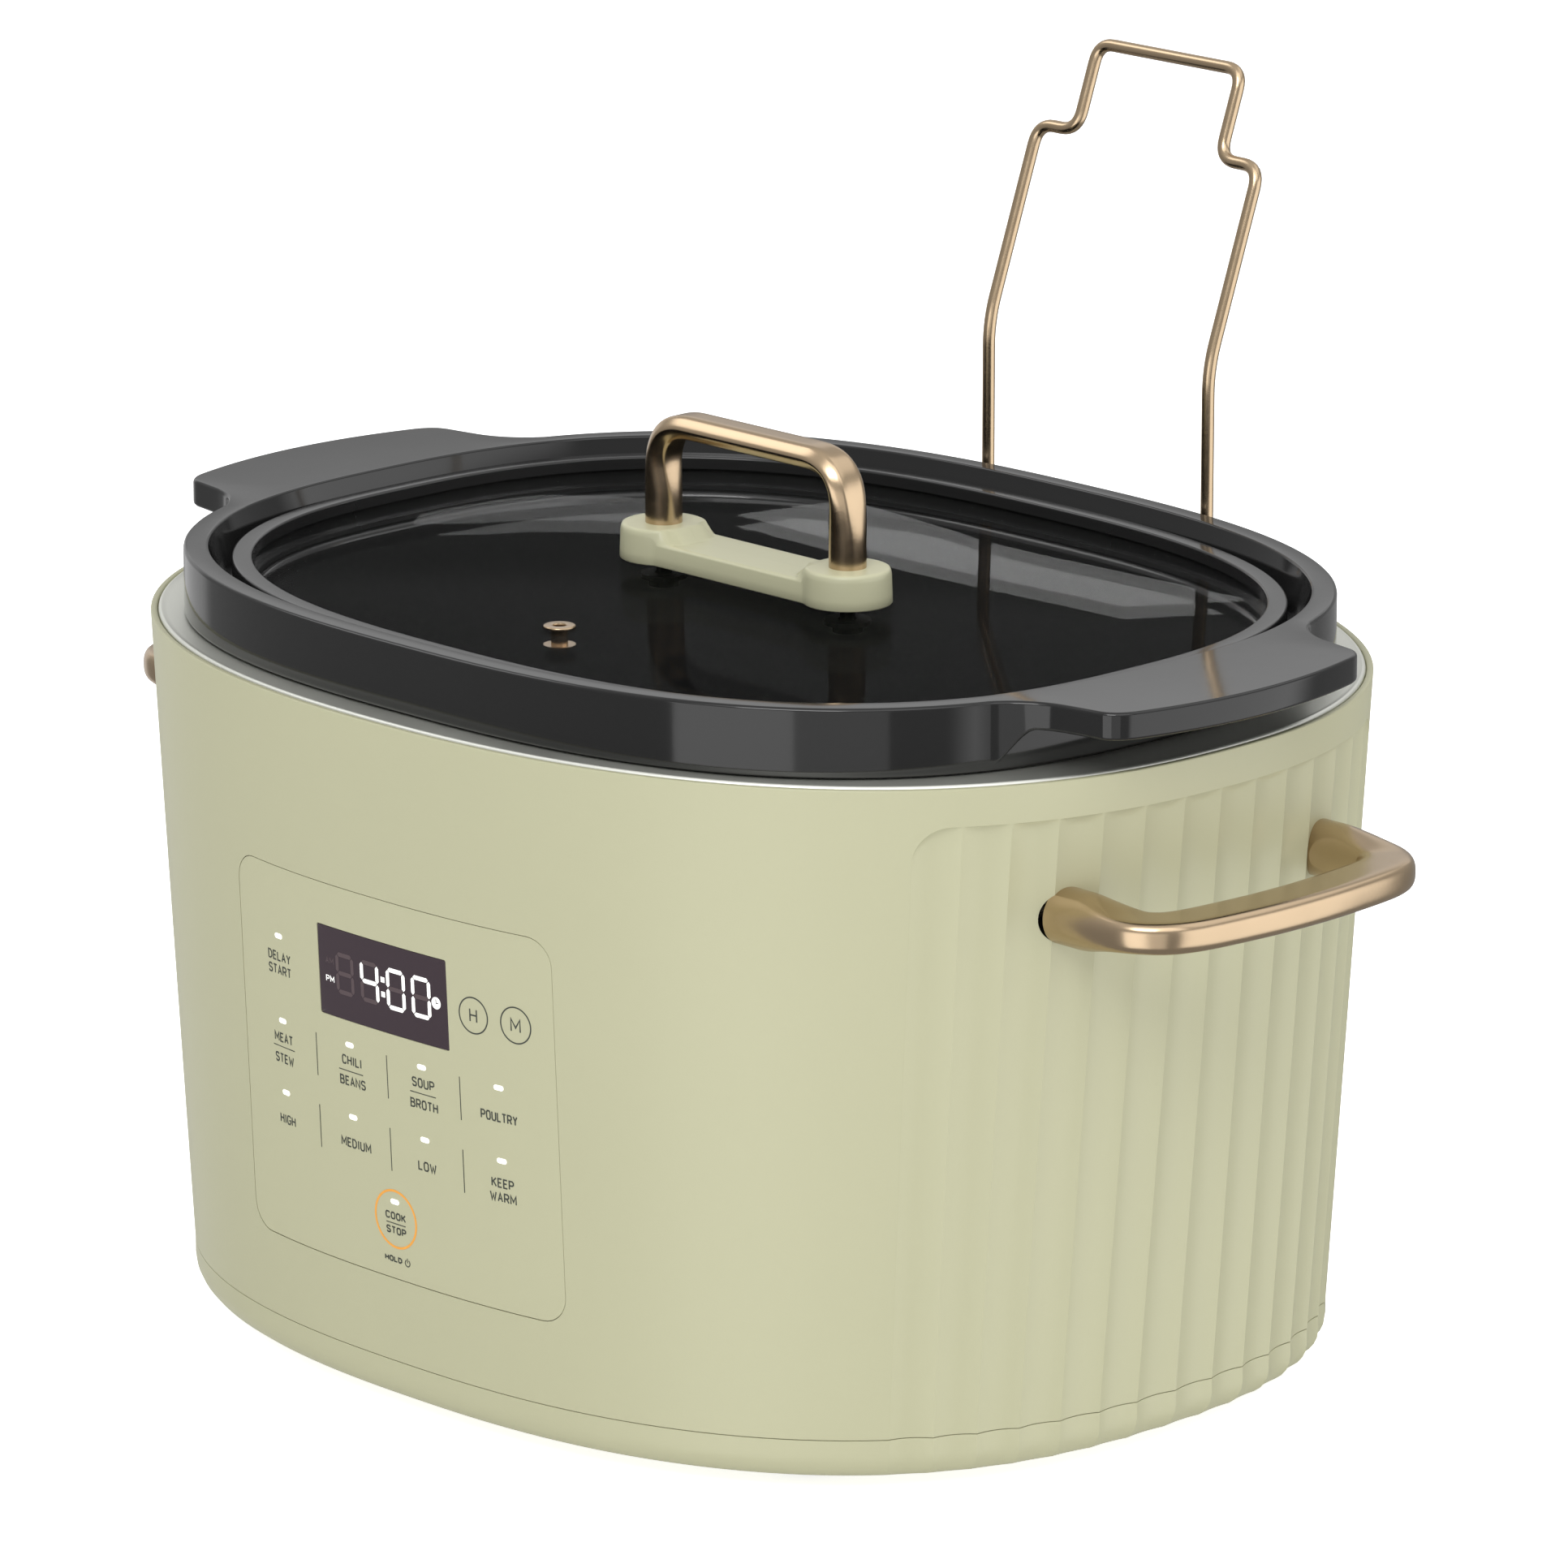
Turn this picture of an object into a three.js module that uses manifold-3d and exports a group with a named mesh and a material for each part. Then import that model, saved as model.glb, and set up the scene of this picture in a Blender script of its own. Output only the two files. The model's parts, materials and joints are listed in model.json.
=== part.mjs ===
// Oval slow cooker with a lift-out crock, a glass lid and a wire rack that holds the lid.
// Millimetres, +Z up, +X to the cooker's right end, the control panel faces -Y.
import * as THREE from 'three';
import { mergeVertices } from 'three/addons/utils/BufferGeometryUtils.js';
import Module from 'manifold-3d';

const wasm = await Module();
wasm.setup();

// ---------- driving dimensions ----------
const gap = 0.3;

// heights above the table
const footHeight = 4;
const seamZ = 17;
const housingTopZ = 209.8;
const flangeThickness = 1.2;
const crockRimBottomZ = 210.1;
const crockRimTopZ = 230.3;
const lidLedgeZ = 216.2;
const lidRingTopZ = 226.7;

// oval outlines: half length, half depth and the power of the superellipse
const seamOutline = { halfX: 173.5, halfY: 142.5, power: 2.445 };
const topOutline = { halfX: 190, halfY: 151.9, power: 2.3 };
const crockOutline = { halfX: 171, halfY: 140.1, power: 2.61 };

// wall of the housing, the lip round its top and the scallops at its two ends
const wall = 2.4;
const lipThickness = 1.9;
const shelfInset = 5;
const fluteCount = 7;
const flutePitch = 14.28;
const fluteDepth = 1.4;
const fluteTopZ = 198.7;

// crock
const crockBottomZ = 58;
const crockFloor = 8;
const crockWall = 7;
const earCornerX = 197.8;
const earCornerY = 43.5;
const earBow = 6.4;
const earThickness = 8.4;

// lid
const glassThickness = 4;
const glassEdgeInset = 17.4;
const glassTopZ = 225.2;
const glassDrop = 3;
const handleLegX = 38.8;
const legRadius = 5.55;
const lobeRadius = 13.1;
const padTopZ = 235;
const bowTopZ = 270.5;
const bowCornerRadius = 13;
const ventY = -77.9;

// wire rack
const wireRadius = 1.95;
const rackRodX = 46.1;
const rackRodY = 143;
const rackHeadX = 29.8;
const rackFootZ = 186;
const rackBendZ = 273.2;
const rackShoulderZ = 331.3;
const rackTopZ = 357.4;
const rackLean = THREE.MathUtils.degToRad(19.9);

// side handles
const sideHandleY = 51.3;
const sideHandleZ = 169.6;
const sideHandleReach = 217;
const sideHandleRadius = 8.3;

// control panel
const panel = { x: -0.3, z: 99.9, width: 133.3, height: 114.4, radius: 8.2 };
const display = { x: 0, z: 130.9, width: 54.7, height: 26.9, radius: 2.5 };
const overlayThickness = 0.8;
const boardFaceY = -137.5;

// ---------- materials ----------
const finishes = {
  sage: { color: 0xc1c0a1, roughness: 0.55, metalness: 0 },
  silver: { color: 0xb2b3aa, roughness: 0.35, metalness: 0.9 },
  overlay: { color: 0xc8c7aa, roughness: 0.5, metalness: 0 },
  lens: { color: 0x493c42, roughness: 0.1, metalness: 0 },
  crock: { color: 0x141414, roughness: 0.12, metalness: 0 },
  glass: { color: 0xe8eeee, roughness: 0.02, metalness: 0, transparent: true, opacity: 0.35 },
  black: { color: 0x1c1c1c, roughness: 0.35, metalness: 0 },
  champagne: { color: 0xb8ad8c, roughness: 0.25, metalness: 1 },
  steel: { color: 0xb8babc, roughness: 0.3, metalness: 1 },
  rubber: { color: 0x202020, roughness: 0.9, metalness: 0 },
  silicone: { color: 0x6d6a4c, roughness: 0.7, metalness: 0 },
  board: { color: 0x2a5a34, roughness: 0.5, metalness: 0 },
  component: { color: 0x24262a, roughness: 0.5, metalness: 0 },
  copper: { color: 0xa8673c, roughness: 0.4, metalness: 0.8 },
  ivory: { color: 0xd8d6c8, roughness: 0.6, metalness: 0 },
  insulation: { color: 0xd9d3bd, roughness: 0.95, metalness: 0 },
};
const materials = Object.fromEntries(Object.entries(finishes).map(([name, look]) => {
  return [name, new THREE.MeshStandardMaterial({ name, ...look })];
}));

// ---------- solids ----------
// One closed mesh: shared vertices are merged and triangles with no area are dropped.
function closed(geometry) {
  const bare = geometry.clone();
  bare.deleteAttribute('normal');
  bare.deleteAttribute('uv');
  const merged = mergeVertices(bare, 1e-3);
  const corners = merged.index.array;
  const kept = [];
  for (let i = 0; i < corners.length; i += 3) {
    const [a, b, c] = [corners[i], corners[i + 1], corners[i + 2]];
    if (a !== b && b !== c && c !== a) kept.push(a, b, c);
  }
  merged.setIndex(kept);
  return merged;
}

function toSolid(geometry) {
  const mesh = closed(geometry);
  return new wasm.Manifold(new wasm.Mesh({
    numProp: 3,
    vertProperties: new Float32Array(mesh.attributes.position.array),
    triVerts: new Uint32Array(mesh.index.array),
  }));
}

function toGeometry(solid) {
  const mesh = solid.getMesh();
  const geometry = new THREE.BufferGeometry();
  geometry.setAttribute('position', new THREE.BufferAttribute(new Float32Array(mesh.vertProperties), 3));
  geometry.setIndex(new THREE.BufferAttribute(new Uint32Array(mesh.triVerts), 1));
  return geometry;
}

function cut(body, ...tools) {
  return toGeometry(tools.reduce((left, tool) => left.subtract(toSolid(tool)), toSolid(body)));
}

function join(body, ...others) {
  return toGeometry(others.reduce((sum, other) => sum.add(toSolid(other)), toSolid(body)));
}

function overlap(body, other) {
  return toGeometry(toSolid(body).intersect(toSolid(other)));
}

// ---------- shapes ----------
// A round bar from one point to another.
function rod(radius, start, end, sides = 16) {
  const from = new THREE.Vector3(...start);
  const along = new THREE.Vector3(...end).sub(from);
  const geometry = new THREE.CylinderGeometry(radius, radius, along.length(), sides);
  geometry.translate(0, along.length() / 2, 0);
  const turn = new THREE.Quaternion().setFromUnitVectors(
    new THREE.Vector3(0, 1, 0), along.clone().normalize());
  geometry.applyQuaternion(turn);
  return geometry.translate(from.x, from.y, from.z);
}

function block(low, high) {
  const size = high.map((value, i) => value - low[i]);
  const geometry = new THREE.BoxGeometry(...size);
  return geometry.translate(...low.map((value, i) => value + size[i] / 2));
}

// A turned piece about +Z; the profile lists [radius, z] and runs up the outside.
function turned(profile, sides = 20) {
  const geometry = new THREE.LatheGeometry(profile.map(([r, z]) => new THREE.Vector2(r, z)), sides);
  return geometry.rotateX(Math.PI / 2);
}

function roundedRectangle({ x, z, width, height, radius }, grow = 0) {
  const shape = new THREE.Shape();
  const halfX = width / 2 + grow;
  const halfZ = height / 2 + grow;
  const corners = [[1, -1, -90], [1, 1, 0], [-1, 1, 90], [-1, -1, 180]];
  for (const [signX, signZ, start] of corners) {
    const from = THREE.MathUtils.degToRad(start);
    shape.absarc(x + signX * (halfX - radius), z + signZ * (halfZ - radius), radius, from,
      from + Math.PI / 2);
  }
  return shape;
}

// A prism along Y through the front wall of the housing.
function frontPrism(outline, grow = 0) {
  const geometry = new THREE.ExtrudeGeometry(roundedRectangle(outline, grow),
    { depth: 40, bevelEnabled: false, curveSegments: 4 });
  return geometry.rotateX(Math.PI / 2).translate(0, -120, 0);
}

// ---------- ovals ----------
function ovalPoint({ halfX, halfY, power }, angle, inset = 0) {
  const [c, s] = [Math.cos(angle), Math.sin(angle)];
  return [
    (halfX - inset) * Math.sign(c) * Math.abs(c) ** (2 / power),
    (halfY - inset) * Math.sign(s) * Math.abs(s) ** (2 / power),
  ];
}

// Where a vertical wall of the oval lies at the given x, on the +Y side.
function ovalY({ halfX, halfY, power }, x, inset = 0) {
  return (halfY - inset) * (1 - Math.abs(x / (halfX - inset)) ** power) ** (1 / power);
}

function housingOutline(z) {
  const t = Math.max(0, (z - seamZ) / (housingTopZ - seamZ));
  const blend = (key) => THREE.MathUtils.lerp(seamOutline[key], topOutline[key], t);
  return { halfX: blend('halfX'), halfY: blend('halfY'), power: blend('power') };
}

// The angles of columns round the top outline, for a quarter that is mirrored into the whole
// oval. Each stop lies at the distance from the end of the +X axis, plus the share of the way
// that is left to the +Y axis.
function columnsAt(stops) {
  const samples = 2000;
  const lengths = [0];
  let last = ovalPoint(topOutline, 0);
  for (let i = 1; i <= samples; i++) {
    const next = ovalPoint(topOutline, (i / samples) * Math.PI / 2);
    lengths.push(lengths[i - 1] + Math.hypot(next[0] - last[0], next[1] - last[1]));
    last = next;
  }
  const angles = stops.map(({ from = 0, share = 0, flute = 0 }) => {
    const target = from + share * (lengths[samples] - from);
    const i = Math.max(1, lengths.findIndex((length) => length >= target - 1e-9));
    const part = (target - lengths[i - 1]) / (lengths[i] - lengths[i - 1]);
    return { angle: ((i - 1 + part) / samples) * Math.PI / 2, flute };
  });
  const end = { angle: Math.PI / 2, flute: 0 };
  const quarter = [...angles, end];
  const back = [...quarter].reverse();
  return [
    ...quarter.slice(0, -1),
    ...back.slice(0, -1).map((c) => ({ ...c, angle: Math.PI - c.angle })),
    ...quarter.slice(0, -1).map((c) => ({ ...c, angle: Math.PI + c.angle })),
    ...back.slice(0, -1).map((c) => ({ ...c, angle: 2 * Math.PI - c.angle })),
  ];
}

// Columns of the housing: three facets to a scallop, then even steps along the front.
function housingColumns() {
  const stops = [];
  for (let i = 0; i < fluteCount; i++) {
    stops.push({ from: i * flutePitch });
    stops.push({ from: (i + 1 / 3) * flutePitch, flute: 0.9 });
    stops.push({ from: (i + 2 / 3) * flutePitch, flute: 0.9 });
  }
  const plainSteps = 8;
  for (let i = 0; i < plainSteps; i++) {
    stops.push({ from: fluteCount * flutePitch, share: i / plainSteps });
  }
  return columnsAt(stops);
}

function plainColumns(perQuarter) {
  return columnsAt(Array.from({ length: perQuarter }, (_, i) => ({ share: i / perQuarter })));
}

// A solid between oval rows. Each row has an outline, an inset from it, a height and the
// share of the scallops' depth; a row with no outline is a point on the axis.
function ovalSolid(rows, columns) {
  const profile = rows.map((_, j) => new THREE.Vector2(1, j));
  const geometry = new THREE.LatheGeometry(profile, columns.length);
  const position = geometry.attributes.position;
  for (let i = 0; i <= columns.length; i++) {
    const { angle, flute } = columns[i % columns.length];
    rows.forEach(({ outline, inset = 0, z, depth = 0 }, j) => {
      const [x, y] = outline ? ovalPoint(outline, angle, inset + flute * depth) : [0, 0];
      position.setXYZ(i * rows.length + j, x, y, z);
    });
  }
  return geometry;
}

// A closed ring: the rows run up the outside and down the inside.
function ovalRing(rows, columns) {
  return ovalSolid([...rows, rows[0]], columns);
}

const fluted = housingColumns();
const plain = plainColumns(10);

const housingRow = (z, inset = 0, depth = 0) => ({ outline: housingOutline(z), inset, z, depth });
const crockRow = (inset, z) => ({ outline: crockOutline, inset, z });
const axisRow = (z) => ({ z });

// ---------- bars that follow a path ----------
// Points of a path with rounded corners; each corner is [x, y, z, roundingLength].
function roundedPath(corners, steps = 3) {
  const points = corners.map(([x, y, z]) => new THREE.Vector3(x, y, z));
  const path = [points[0]];
  for (let i = 1; i < points.length - 1; i++) {
    const length = corners[i][3];
    const before = points[i].clone().add(
      points[i - 1].clone().sub(points[i]).setLength(length));
    const after = points[i].clone().add(
      points[i + 1].clone().sub(points[i]).setLength(length));
    path.push(...new THREE.QuadraticBezierCurve3(before, points[i], after).getPoints(steps));
  }
  return [...path, points[points.length - 1]];
}

// A bar with an oval section swept along a flat path; halfWidth lies in the path's plane and
// halfHeight along the plane's normal, and both may change from station to station.
function sweptBar(points, normal, sizeAt, sides) {
  const count = points.length;
  const stations = points.map((point, i) => {
    const tangent = points[Math.min(i + 1, count - 1)].clone().sub(points[Math.max(i - 1, 0)]);
    const side = new THREE.Vector3().crossVectors(normal, tangent).normalize();
    return { point, side, ...sizeAt(point, i / (count - 1)) };
  });
  const tip = (station) => ({ ...station, halfWidth: 0, halfHeight: 0 });
  const rows = [tip(stations[0]), ...stations, tip(stations[count - 1])];
  const profile = rows.map((_, j) => new THREE.Vector2(1, j));
  const geometry = new THREE.LatheGeometry(profile, sides);
  const position = geometry.attributes.position;
  for (let i = 0; i <= sides; i++) {
    const angle = ((i % sides) + 0.5) / sides * 2 * Math.PI;
    rows.forEach(({ point, side, halfWidth, halfHeight }, j) => {
      const spot = point.clone()
        .addScaledVector(side, Math.cos(angle) * halfWidth)
        .addScaledVector(normal, Math.sin(angle) * halfHeight);
      position.setXYZ(i * rows.length + j, spot.x, spot.y, spot.z);
    });
  }
  return geometry;
}

// ---------- the model ----------
const cooker = new THREE.Group();

function add(name, finish, geometry) {
  const mesh = new THREE.Mesh(closed(geometry), materials[finish]);
  mesh.geometry.computeVertexNormals();
  mesh.name = name;
  cooker.add(mesh);
}

const sides = [['left', -1], ['right', 1]];
const ends = [['front', -1], ['back', 1]];

// Housing skin: tapered oval wall with scalloped ends, a lip round a shelf for the liner's
// flange, a recess for the control overlay, four bosses for the control board and holes for
// the handles, the cord and the rack.
const boardScrewSpots = [[-46, 58], [46, 58], [-46, 146], [46, 146]];
const glandZ = 40;

function outerShell() {
  const shelfZ = housingTopZ - flangeThickness - gap;
  const skin = ovalRing([
    housingRow(seamZ + gap / 2, 0, fluteDepth),
    housingRow(193, 0, fluteDepth),
    housingRow(fluteTopZ),
    housingRow(housingTopZ),
    housingRow(housingTopZ, lipThickness),
    housingRow(shelfZ, lipThickness),
    housingRow(shelfZ, shelfInset),
    housingRow(shelfZ - shelfInset, wall),
    housingRow(seamZ + gap / 2, wall),
  ], fluted);
  const recess = overlap(frontRing(-1, overlayThickness + gap), frontPrism(panel, gap));
  const window = frontPrism(display, gap);
  const bosses = boardScrewSpots.map(([x, z]) => {
    return rod(3, [x, -ovalY(housingOutline(z), x, 1.9), z], [x, boardFaceY - gap, z], 10);
  });
  const pilots = boardScrewSpots.map(([x, z]) => {
    return rod(1.3, [x, boardFaceY - 2.8, z], [x, boardFaceY + 1, z], 8);
  });
  const handleHoles = sides.flatMap(([, sx]) => ends.map(([, sy]) => {
    return rod(2.8, [sx * 165, sy * sideHandleY, sideHandleZ],
      [sx * 195, sy * sideHandleY, sideHandleZ], 12);
  }));
  const rackGrooves = sides.map(([, sx]) => {
    return rod(3.3, [sx * rackRodX, rackRodY, 183], [sx * rackRodX, rackRodY, 215], 12);
  });
  const cordHole = rod(6, [0, 125, glandZ], [0, 150, glandZ], 16);
  return cut(join(skin, ...bosses), recess, window, ...pilots, ...handleHoles, ...rackGrooves,
    cordHole);
}

// The wall of the housing between two depths below its surface, where the panel sits.
function frontRing(outer, inner) {
  return ovalRing([
    housingRow(30, outer), housingRow(170, outer), housingRow(170, inner), housingRow(30, inner),
  ], fluted);
}

function controlOverlay() {
  const sheet = overlap(frontRing(0, overlayThickness), frontPrism(panel));
  return cut(sheet, frontPrism(display, gap));
}

// Base tray: shallow dish under the seam with a round well for the central nut, vents and
// standoffs for the power board.
const powerBoard = { x: 78, y: 0, width: 84, depth: 70, z: 16 };
const powerScrewSpots = [[-1, -1], [1, -1], [-1, 1], [1, 1]].map(([sx, sy]) => {
  return [powerBoard.x + sx * 36, powerBoard.y + sy * 29];
});
const footSpots = ends.flatMap(([end, sy]) => sides.map(([side, sx]) => {
  return { name: `foot_${end}_${side}`, x: sx * 112, y: sy * 86 };
}));

function baseTray() {
  const dish = ovalSolid([
    axisRow(footHeight),
    housingRow(footHeight, 7),
    housingRow(footHeight + 2, 2, fluteDepth * 0.7),
    housingRow(footHeight + 7, 0, fluteDepth),
    housingRow(seamZ - gap / 2, 0, fluteDepth),
    housingRow(seamZ - gap / 2, wall),
    housingRow(footHeight + wall, 5),
    axisRow(footHeight + wall),
  ].map((row) => (row.outline ? { ...row, outline: seamOutline } : row)), fluted);
  const well = rod(18.4, [0, 0, footHeight + 1], [0, 0, 12], 20);
  const standoffs = powerScrewSpots.map(([x, y]) => {
    return rod(3, [x, y, footHeight + 1], [x, y, powerBoard.z - gap], 10);
  });
  const pilots = powerScrewSpots.map(([x, y]) => {
    return rod(1.2, [x, y, 10], [x, y, powerBoard.z + 1], 8);
  });
  const footHoles = footSpots.map(({ x, y }) => rod(3.4, [x, y, 3], [x, y, 8], 10));
  const vents = [-60, -45, -30, 30, 45, 60].map((x) => {
    return block([x - 2, -60, 3], [x + 2, -28, 8]);
  });
  return cut(join(dish, well, ...standoffs), rod(16, [0, 0, 3], [0, 0, 9.6], 20),
    rod(3.4, [0, 0, 3], [0, 0, 14], 12), ...pilots, ...footHoles, ...vents);
}

// Heating liner: thin oval pot whose flange lies inside the lip of the housing. The wall leans in
// with the crock's; linerInset is the outside of the wall below the crock's outline.
function linerInset(z) {
  return THREE.MathUtils.mapLinear(z, 77, housingTopZ - flangeThickness, 23.5, 10.4);
}

function heatingLiner() {
  const flangeZ = housingTopZ - flangeThickness;
  const flangeInset = lipThickness + 2 * gap;
  const pot = ovalSolid([
    axisRow(54.6),
    crockRow(43, 54.6),
    crockRow(28.6, 61),
    crockRow(linerInset(77), 77),
    crockRow(linerInset(flangeZ), flangeZ),
    housingRow(flangeZ, flangeInset),
    housingRow(housingTopZ - 0.4, flangeInset),
    housingRow(housingTopZ, flangeInset + 0.4),
    crockRow(11.6, housingTopZ),
    crockRow(linerInset(77) + 1.2, 77),
    crockRow(29.6, 62),
    crockRow(43.6, 55.8),
    axisRow(55.8),
  ], plain);
  const rackHoles = sides.map(([, sx]) => {
    return rod(3.25, [sx * rackRodX, rackRodY, 205], [sx * rackRodX, rackRodY, 212], 12);
  });
  return cut(pot, ...rackHoles);
}

// A band wrapped round the liner, standing off its wall by the given clearance.
function linerBand(bottomZ, topZ, clearance, thickness) {
  const row = (z, away) => crockRow(linerInset(z) - away, z);
  return ovalRing([
    row(bottomZ, clearance + thickness), row(topZ, clearance + thickness),
    row(topZ, clearance), row(bottomZ, clearance),
  ], plain);
}

function heatShield() {
  const plate = ovalSolid([axisRow(47), crockRow(28, 47), crockRow(28, 48), axisRow(48)], plain);
  return cut(plate, rod(4.5, [0, 0, 45], [0, 0, 50], 12));
}

// Crock: thick glazed pot with a deep square rim, a ledge for the lid and an ear at each end.
function crockInset(z) {
  return THREE.MathUtils.mapLinear(z, 78, crockRimBottomZ, 26.3, 14);
}

function crock() {
  const inner = (z) => crockRow(crockInset(z) + crockWall, z);
  const floorZ = crockBottomZ + crockFloor;
  const pot = ovalSolid([
    axisRow(crockBottomZ),
    crockRow(47, crockBottomZ),
    crockRow(32, crockBottomZ + 6),
    crockRow(crockInset(78), 78),
    crockRow(14, crockRimBottomZ),
    crockRow(1.2, crockRimBottomZ),
    crockRow(0, crockRimBottomZ + 1.2),
    crockRow(0, crockRimTopZ - 1.2),
    crockRow(1.2, crockRimTopZ),
    crockRow(6.9, crockRimTopZ),
    crockRow(12, lidLedgeZ),
    crockRow(19.5, lidLedgeZ),
    crockRow(crockInset(212) + crockWall, 214),
    inner(86),
    crockRow(39, floorZ + 5),
    crockRow(52, floorZ),
    axisRow(floorZ),
  ], plain);
  const core = ovalSolid([axisRow(200), crockRow(4, 200), crockRow(4, 240), axisRow(240)], plain);
  const ears = sides.map(([, sx]) => cut(ear(sx), core));
  return join(pot, ...ears);
}

// An ear leaves the rim in two tight curves and ends in a bowed edge.
function ear(sx) {
  const bevel = 1.2;
  const side = [
    [[150, -65]], [[161, -65]], [[168, -55.5], [179, -53.2]], [[190, -51.3]],
    [[195.5, -50.3], [earCornerX, -earCornerY]],
  ];
  const shape = new THREE.Shape();
  shape.moveTo(...side[0][0]);
  for (const curve of side.slice(1)) {
    if (curve.length === 2) shape.quadraticCurveTo(...curve[0], ...curve[1]);
    else shape.lineTo(...curve[0]);
  }
  shape.quadraticCurveTo(earCornerX + 2 * earBow, 0, earCornerX, earCornerY);
  shape.quadraticCurveTo(195.5, 50.3, 190, 51.3);
  shape.lineTo(179, 53.2);
  shape.quadraticCurveTo(168, 55.5, 161, 65);
  shape.lineTo(150, 65);
  const plate = new THREE.ExtrudeGeometry(shape, {
    depth: earThickness - 2 * bevel, bevelThickness: bevel, bevelSize: bevel,
    bevelOffset: -bevel, bevelSegments: 1, curveSegments: 4,
  });
  plate.translate(0, 0, crockRimTopZ - earThickness + bevel);
  return sx > 0 ? plate : plate.rotateZ(Math.PI);
}

// Glass lid: a shallow dome held in a black channel ring.
function glassZ(share) {
  return glassTopZ - glassDrop * share * share;
}

function lidGlass() {
  const row = (share, drop) => ({
    outline: {
      halfX: (crockOutline.halfX - glassEdgeInset) * share,
      halfY: (crockOutline.halfY - glassEdgeInset) * share,
      power: THREE.MathUtils.lerp(2, crockOutline.power, share),
    },
    z: glassZ(share) - drop,
  });
  const steps = [0.5, 1];
  const dome = ovalSolid([
    axisRow(glassZ(0) - glassThickness),
    ...steps.map((share) => row(share, glassThickness)),
    ...[...steps].reverse().map((share) => row(share, 0)),
    axisRow(glassZ(0)),
  ], plain);
  const screwHoles = sides.map(([, sx]) => {
    return rod(3.2, [sx * handleLegX, 0, 215], [sx * handleLegX, 0, 235], 12);
  });
  return cut(dome, ...screwHoles, rod(2.9, [0, ventY, 215], [0, ventY, 235], 12));
}

function lidRim() {
  const edgeTopZ = glassZ(1);
  const edgeBottomZ = edgeTopZ - glassThickness;
  return ovalRing([
    crockRow(13.2, lidLedgeZ + gap),
    crockRow(13.2, lidRingTopZ - 0.7),
    crockRow(13.9, lidRingTopZ),
    crockRow(18.8, lidRingTopZ),
    crockRow(18.8, edgeTopZ + 0.7),
    crockRow(17, edgeTopZ + gap),
    crockRow(17, edgeBottomZ - gap),
    crockRow(19, edgeBottomZ - gap),
    crockRow(19, lidLedgeZ + gap),
  ], plain);
}

// Outline shared by the handle's pad and the gasket under it: two round lobes and a waist.
function padShape(grow) {
  const shape = new THREE.Shape();
  const radius = lobeRadius + grow;
  const waist = 8 + grow;
  const open = Math.asin(waist / radius);
  shape.absarc(handleLegX, 0, radius, -(Math.PI - open), Math.PI - open);
  shape.absarc(-handleLegX, 0, radius, open, 2 * Math.PI - open);
  return shape;
}

function plate(shape, bottomZ, topZ, curveSegments = 8) {
  const geometry = new THREE.ExtrudeGeometry(shape,
    { depth: topZ - bottomZ, bevelEnabled: false, curveSegments });
  return geometry.translate(0, 0, bottomZ);
}

const gasketBottomZ = glassTopZ + gap;
const gasketTopZ = gasketBottomZ + 1;

function screwPassages(radius) {
  return sides.map(([, sx]) => {
    return rod(radius, [sx * handleLegX, 0, gasketBottomZ - 2], [sx * handleLegX, 0, 245], 12);
  });
}

function lidHandlePad() {
  const waist = plate(padShape(0), gasketTopZ + gap, padTopZ - 3.5);
  const lobes = sides.map(([, sx]) => {
    return rod(lobeRadius - 0.4, [sx * handleLegX, 0, gasketTopZ + 1], [sx * handleLegX, 0, padTopZ],
      20);
  });
  return cut(join(waist, ...lobes), ...screwPassages(2.8));
}

// Lid handle: round legs that flatten into a bevelled bar across the top.
function lidHandleBow() {
  const barHalfHeight = 3.6;
  const barZ = bowTopZ - barHalfHeight;
  const footZ = padTopZ + gap;
  const path = roundedPath([
    [-handleLegX, 0, footZ],
    [-handleLegX, 0, barZ, bowCornerRadius],
    [handleLegX, 0, barZ, bowCornerRadius],
    [handleLegX, 0, footZ],
  ], 5);
  const size = (point) => {
    const flat = THREE.MathUtils.smoothstep(point.z, barZ - 17.4, barZ - 1);
    return {
      halfWidth: THREE.MathUtils.lerp(legRadius, barHalfHeight, flat),
      halfHeight: THREE.MathUtils.lerp(legRadius, 6.9, flat),
    };
  };
  const bow = sweptBar(path, new THREE.Vector3(0, 1, 0), size, 10);
  const screwHoles = sides.map(([, sx]) => {
    return rod(2.6, [sx * handleLegX, 0, footZ - 1], [sx * handleLegX, 0, bowTopZ - 19], 10);
  });
  return cut(bow, ...screwHoles);
}

// Steam vent: a metal eyelet pressed through the glass.
function steamVent() {
  const share = Math.abs(ventY) / (crockOutline.halfY - glassEdgeInset);
  const top = glassZ(share) + gap;
  const bottom = glassZ(share) - glassThickness - 2 * gap;
  return turned([
    [1.8, bottom - 0.8], [4.7, bottom - 0.8], [4.7, bottom], [2.5, bottom], [2.5, top],
    [4.7, top], [4.7, top + 0.8], [1.8, top + 0.8], [1.8, bottom - 0.8],
  ], 12).translate(0, ventY, 0);
}

// A screw that stands on its head at z = 0 with its shaft up.
function screw(headRadius, headHeight, shaftRadius, length) {
  return turned([
    [0, 0], [headRadius, 0], [headRadius, headHeight], [shaftRadius, headHeight],
    [shaftRadius, headHeight + length], [0, headHeight + length],
  ], 12);
}

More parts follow.
